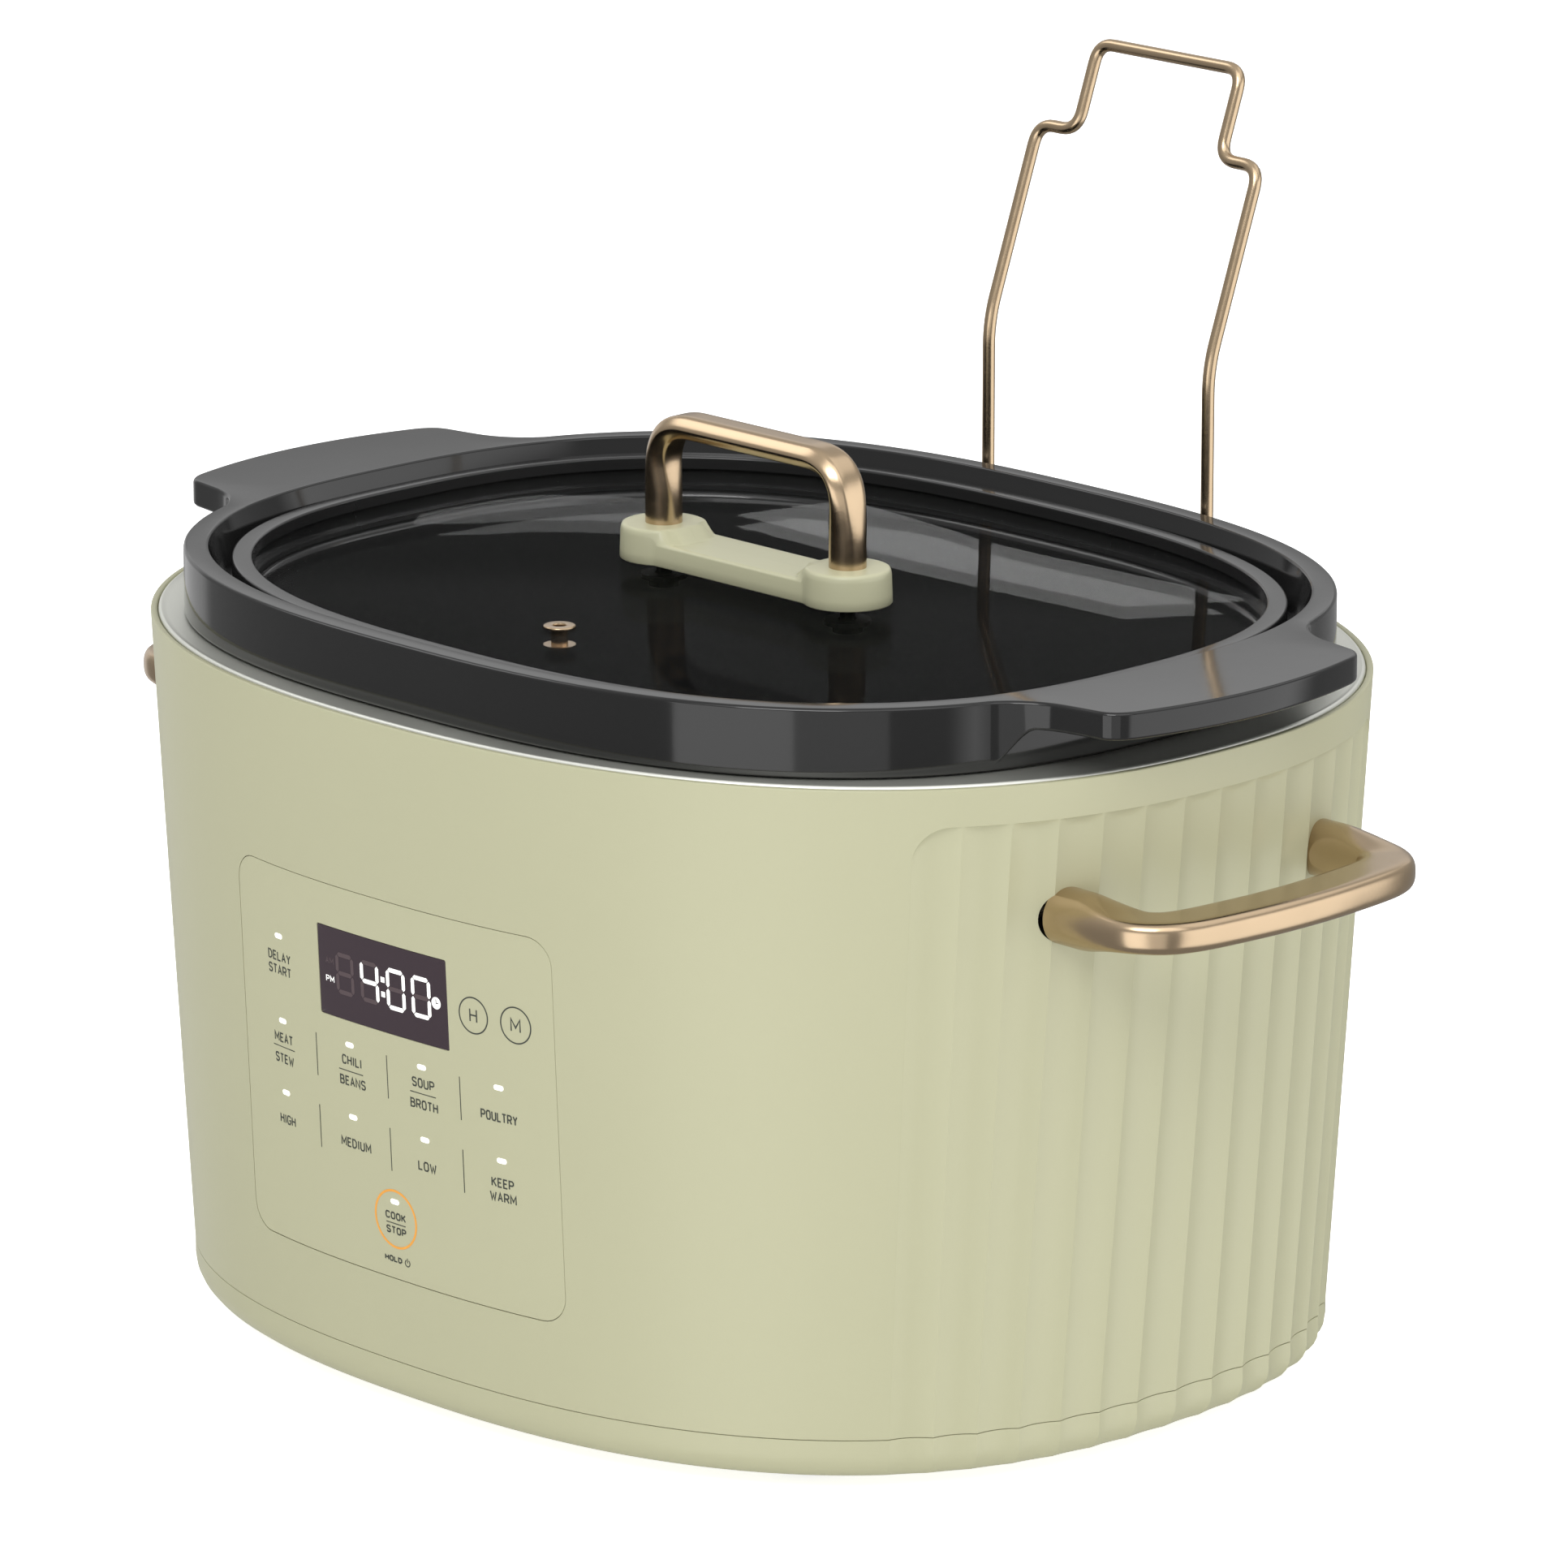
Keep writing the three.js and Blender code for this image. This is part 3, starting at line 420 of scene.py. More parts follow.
# ---------- ovals ----------
def oval(outline, angles, inset=0.0):
    """x and y of a superellipse about the cooker's axis, moved in by the inset."""
    half_x, half_y, power = outline
    c, s = np.cos(angles), np.sin(angles)
    x = (half_x - inset) * np.sign(c) * np.abs(c) ** (2 / power)
    y = axis_y + (half_y - inset) * np.sign(s) * np.abs(s) ** (2 / power)
    return x, y


def quarter_lengths(outline, samples=4000):
    """Angles of a quarter oval and how far round it each of them is."""
    angles = np.linspace(0, pi / 2, samples)
    x, y = oval(outline, angles)
    steps = np.hypot(np.diff(x), np.diff(y))
    return angles, np.concatenate([[0], np.cumsum(steps)])


def mirrored(quarter, flip=None):
    """Values at the columns of a quarter, without its last one, carried round the whole oval."""
    quarter = np.asarray(quarter)
    back = quarter[::-1]
    if flip is None:
        return np.concatenate([quarter[:-1], back[:-1], quarter[:-1], back[:-1]])
    return np.concatenate([quarter[:-1], flip - back[:-1], flip + quarter[:-1],
                           2 * flip - back[:-1]])


def four_quarters(quarter):
    """A closed outline from the points of its first quarter, both ends included."""
    back = quarter[::-1]
    return np.concatenate([quarter[:-1], back[:-1] * [-1, 1], quarter[:-1] * -1,
                           back[:-1] * [1, -1]])


def housing_outline(z):
    t = max(0.0, (z - seam_z) / (housing_top_z - seam_z))
    return tuple(a + (b - a) * t for a, b in zip(seam_outline, top_outline))


def oval_row(outline, z, inset=0.0, angles=None):
    angles = plain_angles if angles is None else angles
    x, y = oval(outline, angles, inset)
    return np.column_stack([x, y, np.full(len(angles), z)])


def crock_row(inset, z):
    return oval_row(crock_outline, z, inset)


def rows_at(row, points, *rest):
    """Rows at points of [inset, z]."""
    return [row(u, v, *rest) for u, v in points]


def even_quarter(outline, count):
    angles, lengths = quarter_lengths(outline)
    return np.interp(np.linspace(0, lengths[-1], count + 1), lengths, angles)


plain_angles = mirrored(even_quarter(crock_outline, 72), pi)


def pole(z):
    return [(0.0, axis_y, z)]


# ---------- housing ----------
# Columns of a quarter of the housing: fine steps across each scallop, then even ones along the
# plain front or back.
flute_steps = [0, 0.04, 0.12, 0.22, 0.35, 0.5, 0.65, 0.78, 0.88, 0.96]
front_columns = 26


def flute_columns():
    """Angle, depth of the scallop as a share, and distance into the scalloped zone."""
    angles, lengths = quarter_lengths(top_outline)
    zone = flute_count * flute_pitch
    shares = [k + u for k in range(flute_count) for u in flute_steps]
    ends = np.array(shares) * flute_pitch
    front = np.linspace(zone, lengths[-1], front_columns + 1)
    quarter = np.interp(np.concatenate([ends, front]), lengths, angles)
    u = np.array(flute_steps * flute_count)
    depth = np.concatenate([4 * u * (1 - u), np.zeros(front_columns + 1)])
    into = np.concatenate([zone - ends, np.zeros(front_columns + 1)])
    return mirrored(quarter, pi), mirrored(depth), mirrored(into)


flute_angles, flute_share, flute_into = flute_columns()


def fluted_row(inset, z, depth=0.0, outline=None):
    """A row of the housing; z and depth are one value or one for each column."""
    z = np.broadcast_to(z, flute_angles.shape)
    depth = np.broadcast_to(depth, flute_angles.shape) * flute_share * flute_depth
    points = []
    for angle, height, sunk in zip(flute_angles, z, depth):
        x, y = oval(outline or housing_outline(height), angle, inset + sunk)
        points.append((x, y, height))
    return points


def scallop_top():
    """Where the scallops end under the lip; the zone's first corner is round."""
    reach = np.clip(flute_into, 0, flute_corner)
    return flute_top_z - flute_corner + np.sqrt(flute_corner ** 2 - (flute_corner - reach) ** 2)


def housing_shell():
    top = scallop_top()
    shelf_z, shelf_reach = housing_top_z - shelf_depth, 0.005
    edge_z = housing_top_z - lip_radius
    rows = [fluted_row(lip, shelf_z)]
    rows += rows_at(fluted_row, arc((lip - lip_radius, edge_z), lip_radius, 0, 90, 3))
    rows += rows_at(fluted_row, arc((lip_radius, edge_z), lip_radius, 90, 180, 3))
    rows += rows_at(fluted_row, [(0, flute_top_z + 0.006), (0, flute_top_z + 0.002)])
    for drop in [0.0, 0.04, 0.15, 0.33, 0.6, 1.0]:
        rows.append(fluted_row(0, top - drop * flute_run_in, sqrt(1 - (1 - drop) ** 2)))
    bottom = seam_z + seam_gap / 2
    for share in [0.04, 0.12, 0.25, 0.4, 0.55, 0.7, 0.85]:
        height = (top - flute_run_in) * (1 - share) + bottom * share
        rows.append(fluted_row(0, np.minimum(height, top - flute_run_in), 1))
    rows += rows_at(fluted_row, arc((seam_radius, bottom + seam_radius), seam_radius, 180, 270, 2),
                    1)
    rows += rows_at(fluted_row, [(wall, bottom), (wall, housing_top_z - 0.0075),
                                 (shelf_reach, shelf_z - 0.0005), (shelf_reach, shelf_z)])
    shell = add_piece("housing_shell", loft(rows, ring=True), "sage", "housing", "outer_shell",
                      sharp=42)
    handle_holes = [drill(handle_radius, -0.02, 0.02, (side * top_outline[0],
                          axis_y + end * handle_y, handle_z), (1, 0, 0))
                    for side in (-1, 1) for end in (-1, 1)]
    cord_hole = drill(0.006, -0.01, 0.01, (0, axis_y + 0.138, 0.040), (0, 1, 0))
    cut(shell, panel_recess(), *handle_holes, cord_hole)


def housing_tray():
    boss_inside, boss_outside, boss_top, boss_floor = 0.016, 0.0184, 0.008, 0.0056
    stud_hole = 0.0034
    bottom, top = tray_low.z, seam_z - seam_gap / 2
    reach, rise = 0.009, 0.0085

    def circle(radius, z):
        direction = np.array(oval(seam_outline, flute_angles)) - np.array([[0], [axis_y]])
        direction = direction / np.linalg.norm(direction, axis=0)
        return [(radius * c, axis_y + radius * s, z) for c, s in direction.T]

    rows = rows_at(circle, [(boss_inside, bottom + boss_floor), (boss_inside, bottom + 0.0004),
                            (boss_inside + 0.0004, bottom)])
    rows.append(fluted_row(0.05, bottom, 0, seam_outline))
    for angle in np.radians([0, 15, 30, 45, 60, 75, 90]):
        rows.append(fluted_row(reach * (1 - sin(angle)), bottom + rise * (1 - cos(angle)),
                               sin(angle), seam_outline))
    rows += rows_at(fluted_row, arc((seam_radius, top - seam_radius), seam_radius, 180, 90, 2), 1,
                    seam_outline)
    rows += rows_at(fluted_row, [(wall, top), (wall, bottom + 0.009), (reach, bottom + wall)], 0,
                    seam_outline)
    rows += rows_at(circle, [(boss_outside, bottom + wall), (boss_outside, bottom + boss_top),
                             (stud_hole, bottom + boss_top), (stud_hole, bottom + boss_floor)])
    tray = add_piece("housing_tray", loft(rows, ring=True), "sage", "housing", "base_tray",
                     sharp=42)
    cut(tray, *[slot_tool(x, axis_y - 0.044, 0.002, 0.016, bottom) for x in
                (-0.060, -0.045, -0.030, 0.030, 0.045, 0.060)])


def slot_tool(x, y, half_width, half_length, z):
    """A round-ended slot through the tray, long in Y."""
    ends = arc((x, y + half_length - half_width), half_width, 0, 180, 8)
    ends += arc((x, y - half_length + half_width), half_width, 180, 360, 8)
    rows = [[(u, v, z + height) for u, v in ends] for height in (-0.003, 0.005)]
    middle = [[(x, y, z + height)] for height in (-0.003, 0.005)]
    return loft([middle[0], rows[0], rows[1], middle[1]])


def feet():
    for node in ("foot_front_left", "foot_front_right", "foot_back_left", "foot_back_right"):
        low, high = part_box(node)
        radius, height, soft = (high.x - low.x) / 2, tray_low.z - low.z, 0.0012
        profile = [(0, 0.0008), (radius - 0.0035, 0.0008), (radius - 0.0028, 0),
                   *arc((radius - soft, soft), soft, -90, 0, 4),
                   (radius - 0.0004, height - gap), (0, height - gap)]
        middle = ((low.x + high.x) / 2, (low.y + high.y) / 2, low.z)
        add_piece(f"rubber_{node}", turned(profile, middle, ring=False), "rubber", "housing", node)


def liner_inset(z):
    """Outside of the liner's wall below the crock's outline."""
    return float(np.interp(z, [0.077, housing_top_z], [0.0235, 0.0104]))


def liner_pot():
    sheet = 0.0012
    base_z, base_corner_z = 0.0546, 0.077
    top = housing_top_z
    bead, proud = 0.0011, 0.0005
    flange_inset = lip + gap + bead

    def flange_row(inset, z):
        return oval_row(top_outline, z, inset)

    corner = (liner_inset(base_corner_z), base_corner_z)
    outside = [(0.043, base_z), *bezier((0.043, base_z), (0.026, base_z), corner, 6),
               (liner_inset(top - 0.004), top - 0.004), (liner_inset(top) - 0.0006, top - sheet)]
    flange = [(flange_inset, top - sheet),
              *arc((flange_inset, top - bead + proud), bead, -90, -270, 10),
              (flange_inset + bead * 1.4, top)]
    floor_top = base_z + sheet
    inside = [(0.0104, top), (0.0112, top - 0.0004),
              (liner_inset(top - 0.003) + sheet, top - 0.003), (liner_inset(0.078) + sheet, 0.078),
              *bezier((0.0247, 0.078), (0.0272, floor_top), (0.0436, floor_top), 6)]
    rows = [pole(base_z), *rows_at(crock_row, outside), *rows_at(flange_row, flange),
            *rows_at(crock_row, inside), pole(floor_top)]
    pot = add_piece("liner_pot", loft(rows), "silver", "housing", "heating_liner", sharp=40)
    cut(pot, *[drill(0.00325, -0.004, 0.003, (side * rod_x, rod_y, top)) for side in (-1, 1)])


# ---------- control panel ----------
def wall_point(x, z, depth=0.0):
    """A point on the front wall, or under it by depth."""
    half_x, half_y, power = housing_outline(z)
    share = (1 - (abs(x) / (half_x - depth)) ** power) ** (1 / power)
    return (x, axis_y - (half_y - depth) * share, z)


def rounded_rectangle(center_x, center_z, half_x, half_z, radius, side_steps=12):
    """Outline from the bottom right corner, counter-clockwise, with its sides split."""
    corners = []
    for sign_x, sign_z, start in ((1, -1, -90), (1, 1, 0), (-1, 1, 90), (-1, -1, 180)):
        middle = (center_x + sign_x * (half_x - radius), center_z + sign_z * (half_z - radius))
        corners.append(arc(middle, radius, start, start + 90, 8))
    outline = []
    for corner, following in zip(corners, corners[1:] + corners[:1]):
        start, end = np.array(corner[-1]), np.array(following[0])
        outline += corner
        outline += [tuple(start + (end - start) * k / side_steps) for k in range(1, side_steps)]
    return np.array(outline)


def wall_patch(outline, inner, front, back, edge=0.00015, rings=8):
    """A closed sheet that follows the wall between two depths, from an outline in to an inner
    one, or to its own middle. Its front edges are slightly rounded."""
    middle = outline.mean(axis=0)
    target = np.tile(middle, (len(outline), 1)) if inner is None else inner

    def ring(share, depth):
        return [wall_point(x, z, depth) for x, z in outline + (target - outline) * share]

    span = np.linalg.norm(outline - target, axis=1).mean()
    step = edge / span
    front_rows = [ring(0, front + edge), ring(step, front)]
    front_rows += [ring(k / rings, front) for k in range(1, rings)]
    back_rows = [ring(k / rings, back) for k in range(rings - 1, 0, -1)] + [ring(0, back)]
    if inner is None:
        vertices, faces = loft([*front_rows, [wall_point(*middle, front)]])
        more, extra = loft([[wall_point(*middle, back)], *back_rows, front_rows[0]])
        faces += [[c + len(vertices) for c in face] for face in extra]
        return vertices + more, faces
    rows = [*front_rows, ring(1 - step, front), ring(1, front + edge), ring(1, back), *back_rows]
    return loft(rows, ring=True)


def panel_outline(grow=0.0):
    return rounded_rectangle(panel_x, panel_z, panel_half[0] + grow, panel_half[1] + grow,
                             panel_radius + grow)


def lens_outline(grow=0.0):
    return rounded_rectangle(0, lens_z, lens_half[0] + grow, lens_half[1] + grow,
                             lens_radius + grow)


def panel_recess():
    return wall_patch(panel_outline(0.00020), None, -0.001, overlay_thickness + gap)


def control_panel():
    film = wall_patch(panel_outline(), lens_outline(0.0001), 0, overlay_thickness)
    add_piece("panel_overlay", film, "overlay", "housing", "control_overlay", sharp=50)
    window = wall_patch(lens_outline(), None, lens_front, lens_back)
    add_piece("panel_lens", window, "lens", "housing", "display_lens", sharp=50)


# Printed lines and strokes: their widths, and how far they stand out of the wall.
line = 0.00028
stroke = 0.00044
ink_lift = 0.00006


def print_shapes(name, look, outlines, lift=ink_lift, base=0.0):
    """Thin printed shapes on the wall. An outline is a closed list of [x, z], or a pair of
    them with the same number of points, for a shape with a hole."""
    vertices, faces = [], []
    for outline in outlines:
        first = len(vertices)
        if len(outline) == 2 and len(outline[0]) > 2:
            outer, inner = outline
            rows = [[wall_point(x, z, base - lift * top) for x, z in ring]
                    for ring, top in ((outer, 0), (outer, 1), (inner, 1), (inner, 0))]
            points, more = loft(rows, ring=True)
        else:
            count = len(outline)
            points = [wall_point(x, z, base - lift * top) for top in (0, 1) for x, z in outline]
            more = [[k, (k + 1) % count, count + (k + 1) % count, count + k]
                    for k in range(count)]
            more += [list(range(count))[::-1], list(range(count, 2 * count))]
        vertices += points
        faces += [[c + first for c in face] for face in more]
    return add_piece(name, (vertices, faces), look, "housing", sharp=30, weighted=False)


def bar_outline(x, z, half_x, half_z):
    return [(x - half_x, z - half_z), (x + half_x, z - half_z), (x + half_x, z + half_z),
            (x - half_x, z + half_z)]


def pill_outline(x, z, half_x, half_z):
    return (arc((x + half_x - half_z, z), half_z, -90, 90, 8)
            + arc((x - half_x + half_z, z), half_z, 90, 270, 8))


def ring_outline(x, z, radius, width, start=0, end=360, steps=48):
    """The outer and inner edge of a ring, or the edge of an open arc."""
    outer = arc((x, z), radius + width / 2, start, end, steps)
    inner = arc((x, z), radius - width / 2, start, end, steps)
    if end - start == 360:
        return outer[:-1], inner[:-1]
    return outer + inner[::-1]


column_x = [-0.0467, -0.0150, 0.0158, 0.0459]
divider_x = [-0.0304, 0.0010, 0.0310]
delay_z, food_z, heat_z = 0.1359, 0.1101, 0.0882
stop_x, stop_z, stop_radius = 0.0016, 0.0610, 0.00865
clock_key_z, hour_x, minute_x, key_radius = 0.1300, 0.0375, 0.0531, 0.00535

# Capital letters as strokes in a box one wide and one tall.
bowl = [(0, 0.46), (0.7, 0.46), (1, 0.6), (1, 0.86), (0.7, 1), (0, 1), (0, 0)]
hook = [(1, 0.8), (0.78, 1), (0.22, 1), (0, 0.8), (0, 0.2), (0.22, 0), (0.78, 0), (1, 0.2)]
capitals = {
    "A": [[(0, 0), (0.5, 1), (1, 0)], [(0.18, 0.34), (0.82, 0.34)]],
    "B": [[(0.7, 0.54), (0.92, 0.66), (0.92, 0.88), (0.7, 1), (0, 1), (0, 0), (0.7, 0),
           (1, 0.14), (1, 0.4), (0.7, 0.54), (0, 0.54)]],
    "C": [hook],
    "D": [[(0, 0), (0, 1), (0.6, 1), (1, 0.76), (1, 0.24), (0.6, 0), (0, 0)]],
    "E": [[(1, 1), (0, 1), (0, 0), (1, 0)], [(0, 0.52), (0.85, 0.52)]],
    "G": [[*hook, (1, 0.46), (0.55, 0.46)]],
    "H": [[(0, 0), (0, 1)], [(1, 0), (1, 1)], [(0, 0.52), (1, 0.52)]],
    "I": [[(0.5, 0), (0.5, 1)]],
    "K": [[(0, 0), (0, 1)], [(1, 1), (0, 0.4)], [(0.35, 0.6), (1, 0)]],
    "L": [[(0, 1), (0, 0), (1, 0)]],
    "M": [[(0, 0), (0, 1), (0.5, 0.3), (1, 1), (1, 0)]],
    "N": [[(0, 0), (0, 1), (1, 0), (1, 1)]],
    "O": [[(0.5, 1), *hook[2:], (1, 0.8), (0.78, 1), (0.5, 1)]],
    "P": [bowl],
    "R": [bowl, [(0.55, 0.46), (1, 0)]],
    "S": [[(1, 0.82), (0.78, 1), (0.22, 1), (0, 0.82), (0, 0.66), (0.22, 0.54), (0.78, 0.46),
           (1, 0.34), (1, 0.18), (0.78, 0), (0.22, 0), (0, 0.18)]],
    "T": [[(0, 1), (1, 1)], [(0.5, 0), (0.5, 1)]],
    "U": [[(0, 1), (0, 0.2), (0.22, 0), (0.78, 0), (1, 0.2), (1, 1)]],
    "W": [[(0, 1), (0.25, 0), (0.5, 0.7), (0.75, 0), (1, 1)]],
    "Y": [[(0, 1), (0.5, 0.5), (1, 1)], [(0.5, 0.5), (0.5, 0)]],
}
letter_widths = {"I": 0.2, "M": 1.25, "W": 1.35, "L": 0.85, "E": 0.85, "T": 0.95}
letter_space = 0.52


def stroke_strip(path, width):
    """The two edges of a stroke along a path of [x, z]."""
    points = np.array(path, float)
    steps = np.diff(points, axis=0)
    steps = steps / np.linalg.norm(steps, axis=1)[:, None]
    before = np.vstack([steps[:1], steps])
    after = np.vstack([steps, steps[-1:]])
    normal = np.column_stack([-(before + after)[:, 1], (before + after)[:, 0]])
    normal = normal / np.linalg.norm(normal, axis=1)[:, None]
    square = np.column_stack([-before[:, 1], before[:, 0]])
    miter = 1 / np.maximum(0.5, (normal * square).sum(axis=1))
    side = normal * miter[:, None] * width / 2
    return points + side, points - side


def letters(name, look, words, width=stroke, lift=ink_lift, base=0.0):
    """Words on the wall, as one piece. Each word is text, x and z of its middle, its width and
    the height of its capitals."""
    vertices, faces = [], []
    for text, x, z, wide, tall in words:
        shares = [letter_widths.get(letter, 1.0) for letter in text]
        unit = wide / (sum(shares) + letter_space * (len(text) - 1))
        left = x - wide / 2
        for letter, share in zip(text, shares):
            for path in capitals[letter]:
                spots = [(left + u * share * unit, z + (v - 0.5) * (tall - width))
                         for u, v in path]
                upper, lower = stroke_strip(spots, width)
                rows = [[wall_point(*a, base), wall_point(*a, base - lift),
                         wall_point(*b, base - lift), wall_point(*b, base)]
                        for a, b in zip(upper, lower)]
                points, more = loft(rows)
                more += [[0, 1, 2, 3], [len(points) - k for k in (1, 2, 3, 4)]]
                faces += [[c + len(vertices) for c in face] for face in more]
                vertices += points
            left += (share + letter_space) * unit
    return add_piece(name, (vertices, faces), look, "housing", sharp=30, weighted=False)


# Words under the lamps: text, x and z of its middle, and its width.
key_words = [
    ("DELAY", -0.0469, 0.1296, 0.0109), ("START", -0.0469, 0.1255, 0.0109),
    ("MEAT", -0.0467, 0.1048, 0.0088), ("STEW", -0.0467, 0.0985, 0.0088),
    ("CHILI", -0.0144, 0.1053, 0.0082), ("BEANS", -0.0144, 0.0990, 0.0109),
    ("SOUP", 0.0161, 0.1052, 0.0088), ("BROTH", 0.0161, 0.0987, 0.0109),
    ("POULTRY", 0.0455, 0.1012, 0.0132),
    ("HIGH", -0.0466, 0.0799, 0.0073), ("MEDIUM", -0.0143, 0.0801, 0.0128),
    ("LOW", 0.0162, 0.0801, 0.0071),
    ("KEEP", 0.0458, 0.0814, 0.0079), ("WARM", 0.0458, 0.0771, 0.0094),
]


def panel_print():
    words = [(*word, 0.0029) for word in key_words]
    words += [("COOK", stop_x, 0.0619, 0.0082, 0.0023), ("STOP", stop_x, 0.0575, 0.0080, 0.0023),
              ("HOLD", -0.0002, 0.0486, 0.0069, 0.0018),
              ("H", hour_x, clock_key_z, 0.0025, 0.0041),
              ("M", minute_x, clock_key_z, 0.0032, 0.0041)]
    letters("panel_words", "ink", words)
    lines = [bar_outline(x, 0.1020, 0.0053, line / 2) for x in column_x[:3]]
    lines += [bar_outline(x, z - 0.0061, line / 2, 0.0065) for x in divider_x
              for z in (food_z, heat_z)]
    lines.append(bar_outline(stop_x, 0.0596, 0.0041, line / 2))
    lines += [ring_outline(x, clock_key_z, key_radius, 0.0004) for x in (hour_x, minute_x)]
    lines.append(ring_outline(0.0058, 0.0485, 0.0010, 0.0003, 120, 420, 24))
    lines.append(bar_outline(0.0058, 0.0493, 0.00015, 0.0007))
    print_shapes("panel_lines", "ink", lines)
    print_shapes("stop_key_ring", "orange", [ring_outline(stop_x, stop_z, stop_radius, 0.0007)])
    spots = [(column_x[0], delay_z), *((x, food_z) for x in column_x),
             *((x, heat_z) for x in column_x), (stop_x, stop_z + 0.0053)]
    print_shapes("indicator_windows", "lamp",
                 [pill_outline(x, z, 0.0018, 0.0008) for x, z in spots], 0.00012)


digit_x = [-0.0156, -0.0048, 0.0064, 0.0169]
digit_z, digit_half, digit_tall, segment_half = 0.1312, 0.0033, 0.0056, 0.00065
lit_segments = {1: "bcfg", 2: "abcdef", 3: "abcdef"}


def segment_outlines(x):
    """The seven segments of a digit, each with pointed ends."""
    half, tall, thick, split = digit_half, digit_tall, segment_half, 0.0002

    def flat(z):
        left, right = x - half + split, x + half - split
        return [(left, z), (left + thick, z - thick), (right - thick, z - thick), (right, z),
                (right - thick, z + thick), (left + thick, z + thick)]

    def upright(side, low, high):
        u = x + side * half
        low, high = low + split, high - split
        return [(u, low), (u + thick, low + thick), (u + thick, high - thick), (u, high),
                (u - thick, high - thick), (u - thick, low + thick)]

    top, middle, bottom = digit_z + tall, digit_z, digit_z - tall
    return {"a": flat(top), "g": flat(middle), "d": flat(bottom), "b": upright(1, middle, top),
            "c": upright(1, bottom, middle), "f": upright(-1, middle, top),
            "e": upright(-1, bottom, middle)}


def display_print():
    lit, unlit = [], []
    for i, x in enumerate(digit_x):
        for key, outline in segment_outlines(x).items():
            (lit if key in lit_segments.get(i, "") else unlit).append(outline)
    lit += [bar_outline(0.0009, digit_z - 0.0002 + side * 0.0022, 0.0008, 0.0008)
            for side in (-1, 1)]
    clock = (0.0230, digit_z - 0.0004)
    lit.append(arc(clock, 0.0018, 0, 360, 32)[:-1])
    print_shapes("display_digits", "lamp", lit, 0.00006, lens_front)
    print_shapes("display_unlit", "ghost", unlit, 0.00004, lens_front)
    hands = [bar_outline(clock[0], clock[1] + 0.0006, 0.00014, 0.0006),
             bar_outline(clock[0] + 0.0004, clock[1], 0.0005, 0.00014)]
    print_shapes("display_clock_hands", "lens", hands, 0.00010, lens_front)
    letters("display_afternoon", "lamp", [("PM", -0.0224, 0.1285, 0.0034, 0.0019)], line, 0.00006,
            lens_front)
    letters("display_morning", "ghost", [("AM", -0.0223, 0.1340, 0.0034, 0.0019)], line, 0.00004,
            lens_front)


# ---------- side handles, gland, sockets ----------
def side_handle(name, node, side):
    corners = [(0.1775, handle_y), (0.196, handle_y), (0.2065, handle_y - 0.0026),
               (0.2127, handle_y - 0.011), (0.2156, 0.020), (0.2165, 0.0)]
    corners += [(x, -y) for x, y in corners[-2::-1]]
    path = catmull([np.array([side * x, axis_y + y, handle_z]) for x, y in corners], 10)

    def section(point, angles):
        flat = smoothstep(abs(point[0]), 0.186, 0.207)
        return bar_section(angles, handle_radius, handle_radius, handle_flat, 0.0016, flat)

    add_piece(name, sweep(path, (0, 0, 1), section), "champagne", "housing", node, sharp=60,
              weighted=False)


def cord_gland():
    low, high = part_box("cord_gland")
    middle = ((low.x + high.x) / 2, high.y, (low.z + high.z) / 2)
    profile = [(0.0036, -0.0105), (0.008, -0.0105), (0.008, -0.0069), (0.0056, -0.0069),
               (0.0056, -0.003), (0.0085, -0.003), (0.009, -0.0024)]
    profile += arc((0.007, -0.0012), 0.0012, 0, 90, 4)
    profile += arc((0.0046, -0.001), 0.001, 90, 180, 4)
    add_piece("moulded_cord_gland", turned(profile, middle, (0, 1, 0)), "rubber", "housing",
              "cord_gland")


def rack_sockets():
    bottom, top, floor_top = 0.1840, 0.2099, 0.1856
    outside, inside = 0.0029, 0.0023
    profile = [(0, bottom), (outside, bottom), (outside, top - 0.0003), (outside - 0.0002, top),
               (inside + 0.0001, top), (inside, top - 0.0002), (inside, floor_top), (0, floor_top)]
    for side, sign in (("left", -1), ("right", 1)):
        shape = turned(profile, (sign * rod_x, rod_y, 0), sides=32, ring=False)
        add_piece(f"holder_socket_{side}", shape, "steel", "housing", f"rack_socket_{side}")


# ---------- crock ----------
def ear_quarter():
    """Outline of the right ear from its middle round to where it leaves the rim."""
    points = [np.array([[ear_reach, 0.0]]),
              bezier((ear_reach, 0), (ear_reach, ear_corner[1] / 2), ear_corner, 12),
              bezier(ear_corner, (0.1955, 0.0503), (0.190, 0.0513), 9),
              bezier((0.190, 0.0513), (0.1845, 0.0522), (0.179, 0.0532), 4),
              bezier((0.179, 0.0532), (0.168, 0.0555), ear_root, 14)]
    return np.concatenate(points)


def crock_columns():
    """Angles of the crock's columns, the outline of its top with the ears, and how far each
    column is into an ear, from 0 on the plain rim to 1."""
    ear = ear_quarter()
    along = np.concatenate([[0], np.cumsum(np.linalg.norm(np.diff(ear, axis=0), axis=1))])
    angles, lengths = quarter_lengths(crock_outline)
    x, y = oval(crock_outline, angles)
    root = np.interp(ear_root[1], y - axis_y, lengths)
    at_ear = np.interp(along / along[-1] * root, lengths, angles)
    rest = np.interp(np.linspace(root, lengths[-1], 45)[1:], lengths, angles)
    quarter = np.concatenate([at_ear, rest])
    x, y = oval(crock_outline, rest)
    top = np.concatenate([ear, np.column_stack([x, y - axis_y])])
    web = 0.013
    share = np.concatenate([smoothstep(along[-1] - along, 0.0, web), np.zeros(len(rest))])
    return mirrored(quarter, pi), four_quarters(top) + [0, axis_y], mirrored(share)


